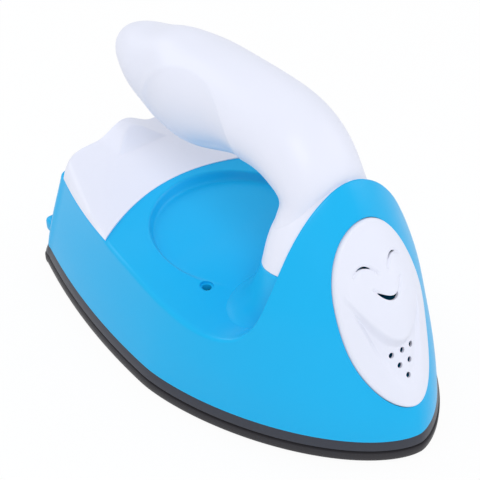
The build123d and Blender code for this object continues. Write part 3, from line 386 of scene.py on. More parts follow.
def rim_frame(rim):
    """Unit directions at each point of the right rim, in the saddle's surface and square to the rim,
    pointing inwards: the surface's normal crossed with the rim's tangent."""
    low = np.interp(rim[:, 1], PROFILE_Y[:LOW + 1][::-1], np.arange(LOW + 1)[::-1])
    high = np.interp(rim[:, 2], PROFILE_Z[LOW:], np.arange(LOW, len(PROFILE_Z)))
    place = np.where(rim[:, 1] > PROFILE_Y[LOW], low, high)
    along_y = np.interp(place, np.arange(len(PROFILE_Y)), np.gradient(PROFILE_Y))
    along_z = np.interp(place, np.arange(len(PROFILE_Z)), np.gradient(PROFILE_Z))
    normal = np.stack([0 * along_y, along_z, -along_y], -1)
    tangent = np.gradient(rim, axis=0)
    tangent[0] = (1, 0, 0)
    inward = np.cross(normal, tangent)
    return inward / np.linalg.norm(inward, axis=1)[:, None]


def body_rim():
    """The right rim from the hood's crown round to the rear's middle, and the station at the cover's tip."""
    tops = wall_tops()
    x, y = wall_lines(tops[None])
    rim = np.stack([x[0], y[0], tops], -1)
    hood = rim[:, 1] < PROFILE_Y[LOW]
    rim[hood, 1] = np.interp(rim[hood, 2], PROFILE_Z[LOW:], PROFILE_Y[LOW:])
    rim[0, 0] = 0
    return rim, STATION_TIP


def body_patches():
    """The body's closed surface. The wall runs up its stations, turns over a rim that is tangent to the
    wall and to the top, edge + a * (1 - sin) + b * (1 - cos), and the top is the arch as ruled rows, the
    saddle as a polar grid with the finger pocket's soft step, and a deck under the rear cover."""
    shape = bpy.context.scene.iron_shape
    rim, last = body_rim()
    size = np.where(np.arange(len(rim)) <= last, shape.rim_round * 1000, 0.25)
    inner = rim + rim_frame(rim) * size[:, None]
    inner[0, 0] = inner[-1, 0] = 0
    share = np.linspace(0, 1, 34)[:, None]
    z = SKIRT_TOP + (rim[:, 2] - size - SKIRT_TOP) * share
    x, y = wall_lines(z)
    wall = np.stack([x, y, z], -1)
    turn = np.linspace(0, np.pi / 2, 7)[1:, None, None]
    rounded = rim + (wall[-1] - rim) * (1 - np.sin(turn)) + (inner - rim) * (1 - np.cos(turn))
    wall = np.concatenate([wall, rounded])
    wall[:, [0, -1], 0] = 0
    inner = wall[-1]
    first = int(np.argmax(inner[:, 1] > PROFILE_Y[LOW]))
    across = np.linspace(-1, 1, 31)
    arch = inner[:first + 1, None, :] * np.stack([across, np.ones(31), np.ones(31)], -1)
    radius = shape.pocket_radius * 1000
    floor = shape.pocket_floor * 1000
    right = inner[first:last + 1]
    deck_count = len(rim) - last
    turn = np.linspace(1, -1, 2 * deck_count - 1)[1:-1]
    arc_y = cover_arc(turn * COVER_TIP[0])
    arc = np.stack([turn * inner[last, 0], arc_y, saddle_height(arc_y)], -1)
    left = right[::-1] * np.array([-1, 1, 1])
    loop = np.concatenate([right, arc, left, arch[-1, 1:-1]])
    centre = np.array(POCKET_CENTRE)
    out = loop[:, :2] - centre
    distance = np.hypot(*out.T)
    way = out / distance[:, None]
    edge = np.array([1.0, 0.75, 0.5, 0.3, 0.1, -0.1, -0.3, -0.5, -0.75, -1.0])[:, None]
    outside = np.linspace(1, 0, 9)[:-1, None] * (distance - radius - 1.5) + radius + 1.5
    inside = radius - np.array([2, 4, 7, 10, 13, 16, 18.5])[:, None] * np.ones_like(distance)
    reach = np.concatenate([outside, radius + edge * np.ones_like(distance), inside])
    px = centre[0] + reach * way[:, 0]
    py = centre[1] + reach * way[:, 1]
    level = saddle_height(py)
    deep = np.minimum(level, floor + POCKET_RISE * (py - centre[1]))
    fade = soft_step(py, -10, 10)
    pz = level + (deep - level) * fade * soft_step(radius - reach, -0.7, 0.7)
    pz[0] = loop[:, 2]
    saddle = np.stack([px, py, pz], -1)
    saddle[-1] = saddle[-1].mean(0)
    front = np.concatenate([inner[last][None], arc[:deck_count - 1]])
    deck = front + (inner[last:] - front) * np.linspace(0, 1, 3)[:, None, None]
    bottom = wall[0] * np.stack([np.linspace(1, 0, 5), np.ones(5), np.ones(5)], -1)[:, None]
    return mirror_pair(wall) + mirror_pair(deck) + mirror_pair(bottom) + [arch], saddle


def root_rows(z, bend):
    """Plan points of the root at heights z: |x / half|^n + |y / reach|^n = 1, with n from 4 at the foot to
    2 at the top, followed over the half turn behind the arch."""
    half, reach, square = smooth_rows(ROOT_ROWS, z)
    power = 2 / square
    x = half * np.sign(np.cos(bend)) * np.abs(np.cos(bend)) ** power
    y = reach * np.abs(np.sin(bend)) ** power
    return x, y


def blunt_height(behind):
    """Height of the blunt joint under the handle's root, at a distance behind the arch."""
    return BLUNT_HEIGHT - BLUNT_FALL * behind


def closed_root(bend, low, high, lift, count, flare=0.0):
    """The root between two heights as rings closed along the arch plane, with both ends drawn to their
    middles. The low and high ends follow the blunt joint's slope where they are given as None."""
    share = np.linspace(0, 1, count)[:, None]
    z = np.full((count, len(bend)), 30.0)
    for _ in range(16):
        x, y = root_rows(z, bend)
        blunt = blunt_height(y) + lift
        bottom = blunt if low is None else low
        top = blunt if high is None else high
        z = bottom + (top - bottom) * share
    level = saddle_height(np.maximum(ARCH_Y + y, PROFILE_Y[LOW]))
    spread = flare * np.exp(-np.clip(z - level, 0, 9) / 1.6)
    x = x + spread * np.cos(bend)
    y = y + spread * np.sin(bend)
    side = np.stack([x, ARCH_Y + 0.05 + y, z], -1)
    inner = np.linspace(0, 1, 14)[1:-1, None]
    back = side[:, -1, None] + (side[:, 0] - side[:, -1])[:, None] * inner
    ring = np.concatenate([side, back], axis=1)
    ends = [np.repeat(ring[k].mean(0)[None], ring.shape[1], 0) for k in (0, -1)]
    return np.concatenate([ends[0][None], ring, ends[1][None]])


def plate_frame():
    """Origin, across, up and outward directions of the face plate's plane."""
    lean = np.radians(PLATE_LEAN)
    rise = np.array([0, np.sin(lean), np.cos(lean)])
    out = np.array([0, -np.cos(lean), np.sin(lean)])
    return np.array(PLATE_FOOT), np.array([1.0, 0, 0]), rise, out


def wall_along(x, up):
    """Where the plate plane's normal through (x, up) meets the outer wall: the distance from the plane,
    found by halving a span 40 times."""
    origin, _, rise, out = plate_frame()
    low, high = np.full(x.shape, -14.0), np.full(x.shape, 10.0)
    for _ in range(40):
        middle = (low + high) / 2
        y = origin[1] + up * rise[1] + middle * out[1]
        z = origin[2] + up * rise[2] + middle * out[2]
        z_safe = np.clip(z, 0, CROWN)
        nose = smooth_rows(WALL_LEVELS, z_safe)[0]
        outside = (y < -nose) | (wall_half_width(np.maximum(y, -nose), z_safe) < np.abs(x)) | (z > CROWN + 3)
        high = np.where(outside, middle, high)
        low = np.where(outside, low, middle)
    return (low + high) / 2


def egg_grid(grow, offset, rings=24, turns=96, relief=False, lift=0.0):
    """The plate's egg as a polar grid laid on the wall: half width * cos(turn) * (1 + 0.1 * sin(turn)).
    With relief the moulded face and a lift are added inside the rim."""
    turn = np.linspace(0, 2 * np.pi, turns, endpoint=False)
    share = np.linspace(1, 0, rings)[:, None]
    x = share * (PLATE_HALF_WIDTH + grow) * np.cos(turn) * (1 + 0.1 * np.sin(turn))
    up = PLATE_HALF_HEIGHT + share * (PLATE_HALF_HEIGHT + grow) * np.sin(turn)
    depth = wall_along(x, up) + offset
    if relief:
        depth = depth + (plate_relief(x, up) + lift) * soft_step(1 - share, 0, 0.16)
    origin, side, rise, out = plate_frame()
    grid = origin + x[..., None] * side + up[..., None] * rise + depth[..., None] * out
    grid[-1] = grid[-1].mean(0)
    return grid


def arc_points(part, half, base, bulge, tilt=0.0):
    """Points of a shallow arc in the plate's plane: up = base + bulge * (1 - part^2) + tilt * part."""
    return np.stack([half * part, base + bulge * (1 - part**2) + tilt * part], -1)


def eye_arc(part, side):
    """Points of one eye's arc, its outer end higher."""
    return arc_points(part, EYE_HALF, EYE_UP, EYE_BULGE, side * EYE_TILT) + [side * EYE_X, 0]


def smile_arc(part):
    """Points of the smile's arc."""
    return arc_points(part, SMILE_HALF, SMILE_UP, SMILE_BULGE)


def near_curve(x, up, points):
    """Distance from plate points to a chain of points."""
    return np.sqrt(((x[..., None] - points[:, 0]) ** 2 + (up[..., None] - points[:, 1]) ** 2).min(-1))


def plate_relief(x, up):
    """Height of the moulded face over the plain plate. The cheeks stand out above the parabola
    bowl foot + bend * x^2 and fade towards the eyes, the field of holes lies lower inside its own
    parabola, and the lids and the smile's ends are grooves, depth * exp(-(distance / half width)^2)."""
    bowl = BOWL_FOOT + BOWL_BEND * x**2
    field = FIELD_FOOT + FIELD_BEND * x**2
    cheeks = CHEEK_HEIGHT * soft_step(up, bowl - 0.9, bowl + 1.4) * (1 - soft_step(up, 20, 33))
    sunk = -FIELD_DEPTH * soft_step(up, field - 2.4, field + 2.6) * (1 - soft_step(up, bowl - 1.2, bowl + 0.9))
    sunk = sunk * (1 - soft_step(up, 22, 31))
    part = np.linspace(-1, 1, 41)
    groove = np.zeros_like(x)
    for side in (-1, 1):
        groove -= LID_GROOVE[0] * np.exp(-(near_curve(x, up, eye_arc(part, side)) / LID_GROOVE[1]) ** 2)
    smile = smile_arc(np.linspace(-1, 1, 61))
    groove -= SMILE_GROOVE[0] * np.exp(-(near_curve(x, up, smile) / SMILE_GROOVE[1]) ** 2)
    return cheeks + sunk + groove


def egg_slab(name, grow, low, high, edge=0, relief=False):
    """A closed slab between two offsets of the wall, with its rim eased by a quarter round."""
    turns, rings = (288, 100) if relief else (96, 24)
    bottom = egg_grid(grow, low, 40 if relief else 24, turns, relief, high - low - PLATE_WALL)
    rim = []
    for turn in np.linspace(0, np.pi / 2, 5 if edge else 2):
        inner = egg_grid(grow - edge * (1 - np.cos(turn)), high - edge * (1 - np.sin(turn)), 2, turns)
        rim.append(inner[0])
    top = egg_grid(grow - edge, high, rings, turns, relief)
    rows = np.concatenate([bottom[::-1], np.array(rim[:-1]), top])
    return make_mesh(name, [(rows, True)])


def bar(name, start, end, radius, turns=24):
    """A closed round bar between two points, as four rings with its ends drawn to their centres."""
    start, end = np.array(start, float), np.array(end, float)
    along = (end - start) / np.linalg.norm(end - start)
    side = np.cross(along, (0, 0, 1) if abs(along[2]) < 0.9 else (0, 1, 0))
    side /= np.linalg.norm(side)
    other = np.cross(along, side)
    turn = np.linspace(0, 2 * np.pi, turns, endpoint=False)
    ring = (np.cos(turn)[:, None] * side + np.sin(turn)[:, None] * other) * radius
    rows = np.stack([start + 0 * ring, start + ring, end + ring, end + 0 * ring])
    return make_mesh(name, [(rows, True)], weld=0.001)


def rounded_block(name, centre, half, turns=28):
    """A closed superellipsoid: the sines and cosines of both angles are raised to the power 0.5."""
    across = np.linspace(0, 2 * np.pi, turns, endpoint=False)
    rise = np.linspace(-np.pi / 2, np.pi / 2, turns // 2 + 1)[:, None]

    def soften(value):
        return np.sign(value) * np.sqrt(np.abs(value))

    x = half[0] * soften(np.cos(rise)) * soften(np.cos(across))
    y = half[1] * soften(np.cos(rise)) * soften(np.sin(across))
    z = half[2] * soften(np.sin(rise)) * np.ones(turns)
    return make_mesh(name, [(np.stack([x, y, z], -1) + np.array(centre), True)], weld=0.001)


def slot_bar(name, points, radius):
    """A closed bar along plane points of the face plate, cut through its thickness: a flat ribbon whose
    half width follows radius and closes to a point where that is 0."""
    along = np.gradient(points, axis=0)
    along /= np.linalg.norm(along, axis=1)[:, None]
    side = np.stack([-along[:, 1], along[:, 0]], -1) * np.asarray(radius)[:, None]
    edge = np.concatenate([points + side, (points - side)[::-1]])
    origin, across, rise, out = plate_frame()
    flat = origin + edge[:, :1] * across + edge[:, 1:] * rise
    low, high = flat - 5 * out, flat + 9 * out
    ends = [np.repeat(row.mean(0)[None], len(row), 0) for row in (low, high)]
    return make_mesh(name, [(np.stack([ends[0], low, high, ends[1]]), True)], weld=0.001)


def joined(name, parts):
    """Join meshes into one object."""
    choose(parts[0])
    for part in parts[1:]:
        part.select_set(True)
    bpy.ops.object.join()
    parts[0].name = name
    return parts[0]


def swept_band(name, rows, cap_low=True, cap_high=True):
    """A closed solid whose edge follows the sole's outline: each row is a height and how far the outline
    is grown; the ends run in to the centre line."""
    nose, middle, rear = WALL_LEVELS[0, [1, 2, 4]]
    x, y = wall_lines(np.zeros((1, STATION_COUNT)))
    x, y = x[0], y[0]
    reach = np.where(y < 0, SOLE_HALF_LENGTH / nose, SOLE_HALF_LENGTH / rear)
    right = np.stack([x * SOLE_HALF_WIDTH / middle, y * reach], -1)
    outline = np.concatenate([right, (right[:-1] * [-1, 1])[::-1]])[:-1]
    tangent = np.roll(outline, -1, 0) - np.roll(outline, 1, 0)
    normal = np.stack([tangent[:, 1], -tangent[:, 0]], -1)
    normal /= np.linalg.norm(normal, axis=1)[:, None]
    levels = []
    for height, grow in rows:
        levels.append(np.column_stack([outline + normal * grow, np.full(len(outline), height)]))
    if cap_low:
        levels.insert(0, levels[0] * [0, 1, 1])
    if cap_high:
        levels.append(levels[-1] * [0, 1, 1])
    return make_mesh(name, [(np.array(levels), True)], weld=0.005)


# Finishes


def plastic(name, colour, roughness, grain, coat=0.0):
    """Moulded plastic: a fine grain on Object coordinates sets a slight unevenness of the gloss and a
    shallow bump."""
    material = bpy.data.materials.new(name)
    material.use_nodes = True
    tree = material.node_tree
    shader = tree.nodes["Principled BSDF"]
    shader.inputs["Base Color"].default_value = (*colour, 1)
    shader.inputs["Roughness"].default_value = roughness
    shader.inputs["Coat Weight"].default_value = coat
    shader.inputs["Specular IOR Level"].default_value = 0.22
    place = tree.nodes.new("ShaderNodeTexCoord")
    noise = tree.nodes.new("ShaderNodeTexNoise")
    noise.inputs["Scale"].default_value = grain
    noise.inputs["Detail"].default_value = 3
    tree.links.new(place.outputs["Object"], noise.inputs["Vector"])
    spread = tree.nodes.new("ShaderNodeMapRange")
    spread.inputs["To Min"].default_value = roughness * 0.85
    spread.inputs["To Max"].default_value = roughness * 1.2
    tree.links.new(noise.outputs["Fac"], spread.inputs["Value"])
    tree.links.new(spread.outputs["Result"], shader.inputs["Roughness"])
    bump = tree.nodes.new("ShaderNodeBump")
    bump.inputs["Strength"].default_value = 0.04
    bump.inputs["Distance"].default_value = 0.0002
    tree.links.new(noise.outputs["Fac"], bump.inputs["Height"])
    tree.links.new(bump.outputs["Normal"], shader.inputs["Normal"])
    return material


def metal(name, colour, roughness, stretch):
    """Worked metal: noise stretched along one direction on Object coordinates brushes the gloss."""
    material = bpy.data.materials.new(name)
    material.use_nodes = True
    tree = material.node_tree
    shader = tree.nodes["Principled BSDF"]
    shader.inputs["Base Color"].default_value = (*colour, 1)
    shader.inputs["Metallic"].default_value = 1
    place = tree.nodes.new("ShaderNodeTexCoord")
    mapping = tree.nodes.new("ShaderNodeMapping")
    mapping.inputs["Scale"].default_value = stretch
    noise = tree.nodes.new("ShaderNodeTexNoise")
    noise.inputs["Scale"].default_value = 900
    tree.links.new(place.outputs["Object"], mapping.inputs["Vector"])
    tree.links.new(mapping.outputs["Vector"], noise.inputs["Vector"])
    spread = tree.nodes.new("ShaderNodeMapRange")
    spread.inputs["To Min"].default_value = roughness * 0.7
    spread.inputs["To Max"].default_value = roughness * 1.3
    tree.links.new(noise.outputs["Fac"], spread.inputs["Value"])
    tree.links.new(spread.outputs["Result"], shader.inputs["Roughness"])
    return material


def finish_for(slot):
    """The material of a record slot, made once."""
    colours = bpy.context.scene.iron_colours
    name = "iron " + slot
    made = bpy.data.materials.get(name)
    if made:
        return made
    recipes = {
        "sole_metal": lambda: plastic(name, (0.032, 0.03, 0.034), 0.38, 2200),
        "shield_metal": lambda: metal(name, (0.75, 0.76, 0.78), 0.3, (1, 0.05, 1)),
        "gasket": lambda: plastic(name, (0.05, 0.055, 0.065), 0.6, 2500),
        "skirt_plastic": lambda: plastic(name, colours.black, 0.32, 1800),
        "blue_plastic": lambda: plastic(name, colours.blue, 0.32, 1500),
        "white_plastic": lambda: plastic(name, colours.white, 0.4, 1500, 0.06),
        "grey_plastic": lambda: plastic(name, (0.08, 0.085, 0.09), 0.5, 1500),
        "bush_rubber": lambda: plastic(name, (0.02, 0.02, 0.022), 0.7, 3000),
        "screw_steel": lambda: metal(name, (0.06, 0.06, 0.065), 0.45, (1, 1, 1)),
        "strip_steel": lambda: metal(name, (0.62, 0.62, 0.63), 0.35, (1, 0.05, 1)),
        "brass": lambda: metal(name, (0.75, 0.55, 0.22), 0.3, (1, 0.05, 1)),
        "ceramic": lambda: plastic(name, (0.7, 0.66, 0.56), 0.75, 3500),
        "heater_ceramic": lambda: plastic(name, (0.11, 0.1, 0.095), 0.7, 3500),
        "insulator_sheet": lambda: plastic(name, (0.5, 0.24, 0.06), 0.45, 900),
        "sleeve_fibre": lambda: plastic(name, (0.75, 0.73, 0.65), 0.9, 5000),
        "lead_insulation": lambda: plastic(name, (0.7, 0.68, 0.62), 0.55, 3000),
    }
    return recipes[slot]()


class CadFinishes(bpy.types.Operator):
    """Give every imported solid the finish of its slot"""

    bl_idname = "iron.cad_finishes"
    bl_label = "Solids' finishes"

    def execute(self, context):
        for entry in frame["record"]["subparts"]:
            obj = frame["nodes"][entry["node"]]
            obj.data.materials.clear()
            obj.data.materials.append(finish_for(entry["material_slot"]))
        return {"FINISHED"}


class BodySkin(bpy.types.Operator):
    """Blue body: outer wall, hood, saddle with its finger pocket and screw holes, the plate's rebate and
    windows, and the heel rests
    """

    bl_idname = "iron.body_skin"
    bl_label = "Body"

    def execute(self, context):
        patches, saddle = body_patches()
        skin = make_mesh("iron_body", [(patch, False) for patch in patches] + [(saddle, True)])
        origin, side, rise, out = plate_frame()
        cutters = [egg_slab("rebate", 0.15, -1.4, 4)]
        for up, radius in PLATE_WINDOWS:
            middle = origin + up * rise
            cutters.append(bar("window", middle - 9 * out, middle + 9 * out, radius))
        ring_floor = saddle_height(DECK_HOLE_Y) - DECK_RING_DEPTH
        for x in (-DECK_HOLE_X, DECK_HOLE_X):
            over = (x, DECK_HOLE_Y, 30)
            cutters.append(bar("recess", (x, DECK_HOLE_Y, DECK_HOLE_FLOOR), over, DECK_HOLE_RADIUS))
            cutters.append(bar("ring", (x, DECK_HOLE_Y, ring_floor), over, DECK_RING_RADIUS))
        for cutter in cutters:
            cut_with(skin, cutter)
        rests = [rounded_block("rest", (x, REST_Y, REST_Z), REST_HALF) for x in (-REST_X, REST_X)]
        skin = joined("iron_body", [skin] + rests)
        finish_piece(skin, finish_for("blue_plastic"), ["body_shell"])
        return {"FINISHED"}


class Pedestal(bpy.types.Operator):
    """Blue pedestal under the handle's root"""

    bl_idname = "iron.pedestal"
    bl_label = "Pedestal"

    def execute(self, context):
        rows = closed_root(np.linspace(0, np.pi, 61), 19.0, None, 0.0, 45, 1.5)
        obj = make_mesh("iron_pedestal", [(rows, True)])
        bevel(obj, 0.0006, 38)
        finish_piece(obj, finish_for("blue_plastic"))
        return {"FINISHED"}


class RearCover(bpy.types.Operator):
    """White rear cover with the raised cord exit"""

    bl_idname = "iron.rear_cover"
    bl_label = "Rear cover"

    def execute(self, context):
        share = np.linspace(0, 1, 61)[:, None]
        across = np.linspace(-1, 1, 97)
        arc_y = cover_arc(across * COVER_TIP[0]) + 0.1
        y = arc_y + (COVER_BACK_Y - arc_y) * share
        flat = COVER_TOP + COVER_TOP_RISE * (y - COVER_TOP_Y)
        half = wall_half_width(y, flat) - 0.05
        corner = np.clip((y - COVER_BACK_Y + CORNER) / CORNER, 0, 1)
        edge = half - CORNER * (1 - np.sqrt(1 - corner**2))
        x = edge * across
        past_x = COVER_FALL_X[0] * (np.abs(x) - COVER_FALL_X[1])
        past_y = COVER_FALL_Y[0] * (y - COVER_FALL_Y[1])
        top = flat - COVER_FALL * np.clip(past_x + past_y, 0, None)
        ridge = RIDGE_HALF_HEIGHT * (1 + np.cos(np.pi * np.clip(np.abs(x) / RIDGE_HALF_WIDTH, 0, 1)))
        facet = np.clip((y - RIDGE_START_Y) * RIDGE_SLOPE, 0, None)
        top = top + np.minimum(ridge, facet)
        room = COVER_ROLL_SHARE * np.clip(top - seam_height(y) - 0.1, 0.2, COVER_ROLL_LIMIT)
        lack = np.clip(room - edge + np.abs(x), 0, None)
        top = top - room + np.sqrt(np.clip(room**2 - lack**2, 0, None))
        x = x * wall_half_width(y, np.minimum(top, flat)) / wall_half_width(y, flat)
        cover = np.stack([x, y, top], -1)
        loop = np.concatenate([cover[0], cover[1:, -1], cover[-1, -2::-1], cover[-2:0:-1, 0]])
        inside = np.arange(len(loop)) % len(loop)
        front = (inside > 0) & (inside < len(across) - 1)
        low = np.where(front, saddle_height(loop[:, 1]) - 0.8, seam_height(loop[:, 1]) + 0.03)
        part = np.linspace(0, 1, 7)[:, None]
        level = loop[:, 2] + (low - loop[:, 2]) * part
        grow = wall_half_width(loop[:, 1], level) / wall_half_width(loop[:, 1], loop[:, 2])
        lean = np.where(loop[:, 1] > COVER_LEAN_Y, (loop[:, 2] - level) * COVER_LEAN, 0)
        skirt = np.stack([loop[:, 0] * grow, loop[:, 1] + lean, level], -1)
        under = np.repeat(np.array([COVER_UNDER]), len(loop), 0)
        skirt = np.concatenate([skirt, under[None]])
        obj = make_mesh("iron_rear_cover", [(cover, False), (skirt, True)])
        bevel(obj, 0.0006, 48)
        finish_piece(obj, finish_for("white_plastic"), ["rear_cover"])
        return {"FINISHED"}


class Handle(bpy.types.Operator):
    """White handle: the root behind the hood and the horn-shaped grip with its side scoops"""

    bl_idname = "iron.handle"
    bl_label = "Handle"

    def execute(self, context):
        shape = context.scene.iron_shape
        chord = np.concatenate([[0], np.cumsum(np.hypot(*np.diff(HANDLE_RINGS[:, :2], axis=0).T))])
        at = np.linspace(6, chord[-1], 240)
        y, z, lean, half, tall, full = smooth_rows(np.column_stack([chord, HANDLE_RINGS]), at)
        lean = np.radians(lean)
        turns = 144
        turn = np.linspace(0, 2 * np.pi, turns, endpoint=False)
        gx = half[:, None] * np.cos(turn) * (1 + full[:, None] * np.sin(turn))
        rise = tall[:, None] * np.sin(turn)
        gy = y[:, None] - np.sin(lean)[:, None] * rise
        gz = z[:, None] + np.cos(lean)[:, None] * rise
        grid = np.stack([gx, gy, gz], -1)
        tip = np.repeat(grid[-1].mean(0)[None] + np.array([0, 0.55, 0]), turns, 0)
        mid = (grid[-1] + tip) / 2 + np.array([0, 0.12, 0])
        grid = np.concatenate([grid, mid[None], tip[None]])
        scoop_y = (grid[..., 1] - SCOOP_MIDDLE[0]) / SCOOP_HALF[0]
        scoop_z = (grid[..., 2] - SCOOP_MIDDLE[1]) / SCOOP_HALF[1]
        away = scoop_y**2 + scoop_z**2
        pressed = shape.scoop_depth * 1000 * np.clip(1 - away, 0, 1) ** 0.8
        pressed = pressed * np.clip(np.abs(grid[..., 0]) / 8, 0, 1) ** 2
        grid[..., 0] -= np.sign(grid[..., 0]) * pressed
        grid[..., 2] = np.maximum(grid[..., 2], blunt_height(grid[..., 1] - ARCH_Y) + 0.1)
        under_crown = grid[..., 2] < CROWN - 0.7
        grid[..., 1] = np.where(under_crown, np.maximum(grid[..., 1], ARCH_Y + 0.1), grid[..., 1])
        start = np.repeat(grid[0].mean(0)[None], turns, 0)
        horn = make_mesh("iron_handle", [(np.concatenate([start[None], grid]), True)])
        rows = closed_root(np.linspace(0, np.pi, 61), None, 51.5, 0.06, 40)
        root_piece = make_mesh("iron_root", [(rows, True)])
        bevel(root_piece, 0.0009, 38)
        horn = joined("iron_handle", [horn, root_piece])
        finish_piece(horn, finish_for("white_plastic"), ["handle_shell", "handle_underside"])
        return {"FINISHED"}


class FacePlate(bpy.types.Operator):
    """White oval plate with its eyes, smile and round holes cut through"""

    bl_idname = "iron.face_plate"
    bl_label = "Face plate"

    def execute(self, context):
        shape = context.scene.iron_shape
        plate = egg_slab("iron_face_plate", 0, -1.25, shape.plate_proud * 1000, edge=0.5, relief=True)
        width = shape.slot_width * 500
        cutters = []
        part = np.linspace(-1, 1, 31)
        for side in (-1, 1):
            cutters.append(slot_bar("eye", eye_arc(part * 0.62, side), 0.22 * (1 - part**2) ** 0.6))
        cutters.append(slot_bar("smile", smile_arc(part * 0.64 - 0.22), width * (1 - part**2) ** 0.6))
        origin, side, rise, out = plate_frame()
        for row in range(HOLE_ROWS):
            for index in range(HOLE_ROWS - row):
                x = (index - (HOLE_ROWS - 1 - row) / 2) * HOLE_ACROSS
                middle = origin + x * side + (HOLE_TOP_UP - row * HOLE_DOWN) * rise
                cutters.append(bar("hole", middle - 6 * out, middle + 9 * out, HOLE_RADIUS, 20))
        cut_with(plate, joined("cutters", cutters))
        finish_piece(plate, finish_for("white_plastic"), ["face_plate"], angle=30)
        return {"FINISHED"}


class SoleBands(bpy.types.Operator):
    """Metal sole, gasket and black skirt, each a profile carried round the outline"""

    bl_idname = "iron.sole_bands"
    bl_label = "Sole and skirt"

    def execute(self, context):
        turn = np.linspace(0, np.pi / 2, 5)
        low = [(SOLE_ROUND - SOLE_ROUND * np.sin(t), -SOLE_ROUND + SOLE_ROUND * np.cos(t)) for t in turn[::-1]]
        sole = swept_band("iron_sole", low + SOLE_TOP_ROWS)
        finish_piece(sole, finish_for("sole_metal"), ["soleplate"])
        gasket = swept_band("iron_gasket", GASKET_ROWS, False, False)
        finish_piece(gasket, finish_for("gasket"), ["sole_gasket"])
        skirt = swept_band("iron_skirt", SKIRT_ROWS, False, False)
        finish_piece(skirt, finish_for("skirt_plastic"), ["base_skirt"])
        return {"FINISHED"}


def add_camera(scene):
    """Camera at the photograph's angle."""
    camera_data = bpy.data.cameras.new("camera")
    camera_data.lens, camera_data.sensor_width = 90.0, 36.0
    camera_data.clip_start, camera_data.clip_end = 0.01, 20.0
    camera = bpy.data.objects.new("camera", camera_data)
    scene.collection.objects.link(camera)
    a, e, roll = CAMERA_TURN, CAMERA_RISE, CAMERA_ROLL
    back = Vector((np.sin(a) * np.cos(e), -np.cos(a) * np.cos(e), np.sin(e)))
    right = Vector((np.cos(a), np.sin(a), 0))
    up = back.cross(right)
    right, up = right * np.cos(roll) + up * np.sin(roll), up * np.cos(roll) - right * np.sin(roll)
    place = Vector(CAMERA_TARGET) + back * CAMERA_DISTANCE
    turn = Matrix((right, up, back)).transposed().to_4x4()
    camera.matrix_world = Matrix.Translation(place) @ turn
    scene.camera = camera


def add_floor(scene):
    """A pale floor: what the camera and the gloss see is mostly plain white, and the rest is a matt
    surface that keeps the object's shadow."""
    floor_mesh = bpy.data.meshes.new("floor")
    floor_mesh.from_pydata([(-2, -2, 0), (2, -2, 0), (2, 2, 0), (-2, 2, 0)], [], [(0, 1, 2, 3)])
    floor = bpy.data.objects.new("floor", floor_mesh)
    scene.collection.objects.link(floor)
    material = bpy.data.materials.new("iron floor")
    material.use_nodes = True
    tree = material.node_tree
    shader = tree.nodes["Principled BSDF"]
    shader.inputs["Base Color"].default_value = (*scene.iron_colours.floor, 1)
    shader.inputs["Roughness"].default_value = 0.9
    glow = tree.nodes.new("ShaderNodeEmission")
    glow.inputs["Color"].default_value = (1, 1, 1, 1)
    rays = tree.nodes.new("ShaderNodeLightPath")
    either = tree.nodes.new("ShaderNodeMath")
    either.operation = "MAXIMUM"
    scale = tree.nodes.new("ShaderNodeMath")
    scale.operation = "MULTIPLY"
    scale.inputs[1].default_value = 0.92
    mix = tree.nodes.new("ShaderNodeMixShader")
    tree.links.new(rays.outputs["Is Camera Ray"], either.inputs[0])
    tree.links.new(rays.outputs["Is Glossy Ray"], either.inputs[1])
    tree.links.new(either.outputs[0], scale.inputs[0])
    tree.links.new(scale.outputs[0], mix.inputs[0])
    tree.links.new(shader.outputs[0], mix.inputs[1])
    tree.links.new(glow.outputs[0], mix.inputs[2])
    tree.links.new(mix.outputs[0], tree.nodes["Material Output"].inputs["Surface"])
    floor_mesh.materials.append(material)


def add_world(scene):
    """A soft bluish surround that the camera itself sees as plain white."""
    world = bpy.data.worlds.new("studio")
    world.use_nodes = True
    scene.world = world
    tree = world.node_tree
    soft = tree.nodes["Background"]
    soft.inputs["Color"].default_value = (0.93, 0.96, 1.0, 1)
    soft.inputs["Strength"].default_value = 0.72
    plain = tree.nodes.new("ShaderNodeBackground")
    plain.inputs["Color"].default_value = (1, 1, 1, 1)
    rays = tree.nodes.new("ShaderNodeLightPath")
    mix = tree.nodes.new("ShaderNodeMixShader")
    tree.links.new(rays.outputs["Is Camera Ray"], mix.inputs[0])
    tree.links.new(soft.outputs[0], mix.inputs[1])
    tree.links.new(plain.outputs[0], mix.inputs[2])
    tree.links.new(mix.outputs[0], tree.nodes["World Output"].inputs["Surface"])


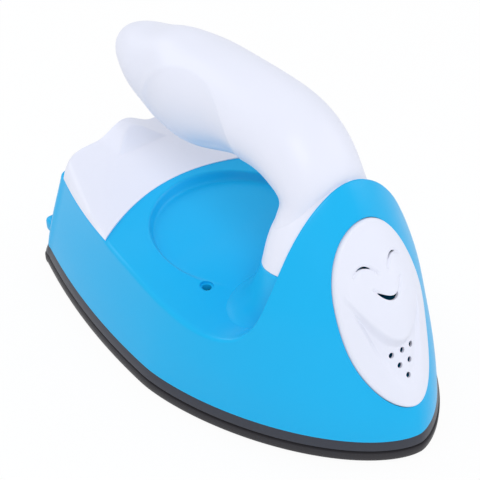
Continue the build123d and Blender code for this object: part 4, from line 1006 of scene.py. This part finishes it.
def add_lights(scene):
    """Round soft lights turned to the object."""
    for name, spot, size, power in LIGHTS:
        data = bpy.data.lights.new(name, "AREA")
        data.shape, data.size, data.energy = "DISK", size, power
        lamp = bpy.data.objects.new(name, data)
        scene.collection.objects.link(lamp)
        lamp.location = spot
        lamp.rotation_euler = (Vector((0, 0, 0.02)) - Vector(spot)).to_track_quat("-Z", "Y").to_euler()


class Stage(bpy.types.Operator):
    """Camera at the photograph's angle, pale floor and soft light"""

    bl_idname = "iron.stage"
    bl_label = "Stage"

    def execute(self, context):
        scene = context.scene
        scene.view_settings.view_transform = "Standard"
        add_camera(scene)
        add_floor(scene)
        add_world(scene)
        add_lights(scene)
        return {"FINISHED"}


class IronPanel(bpy.types.Panel):
    """The iron's operators in the sidebar"""

    bl_idname = "VIEW3D_PT_iron"
    bl_label = "Craft iron"
    bl_space_type = "VIEW_3D"
    bl_region_type = "UI"
    bl_category = "Craft iron"

    def draw(self, context):
        for name in IronShape.__annotations__:
            self.layout.prop(context.scene.iron_shape, name)
        for name in IronColours.__annotations__:
            self.layout.prop(context.scene.iron_colours, name)
        for operator in OPERATORS:
            self.layout.operator(operator.bl_idname)


OPERATORS = (CadFinishes, SoleBands, BodySkin, Pedestal, RearCover, Handle, FacePlate, Stage)
CLASSES = (IronShape, IronColours, *OPERATORS, IronPanel)


def register():
    for each in CLASSES:
        bpy.utils.register_class(each)
    bpy.types.Scene.iron_shape = PointerProperty(type=IronShape)
    bpy.types.Scene.iron_colours = PointerProperty(type=IronColours)


def unregister():
    del bpy.types.Scene.iron_colours
    del bpy.types.Scene.iron_shape
    for each in reversed(CLASSES):
        bpy.utils.unregister_class(each)


def main():
    register()
    bpy.ops.iron.cad_finishes()
    bpy.ops.iron.sole_bands()
    bpy.ops.iron.body_skin()
    bpy.ops.iron.pedestal()
    bpy.ops.iron.rear_cover()
    bpy.ops.iron.handle()
    bpy.ops.iron.face_plate()
    bpy.ops.iron.stage()


if __name__ == "__main__":
    main()
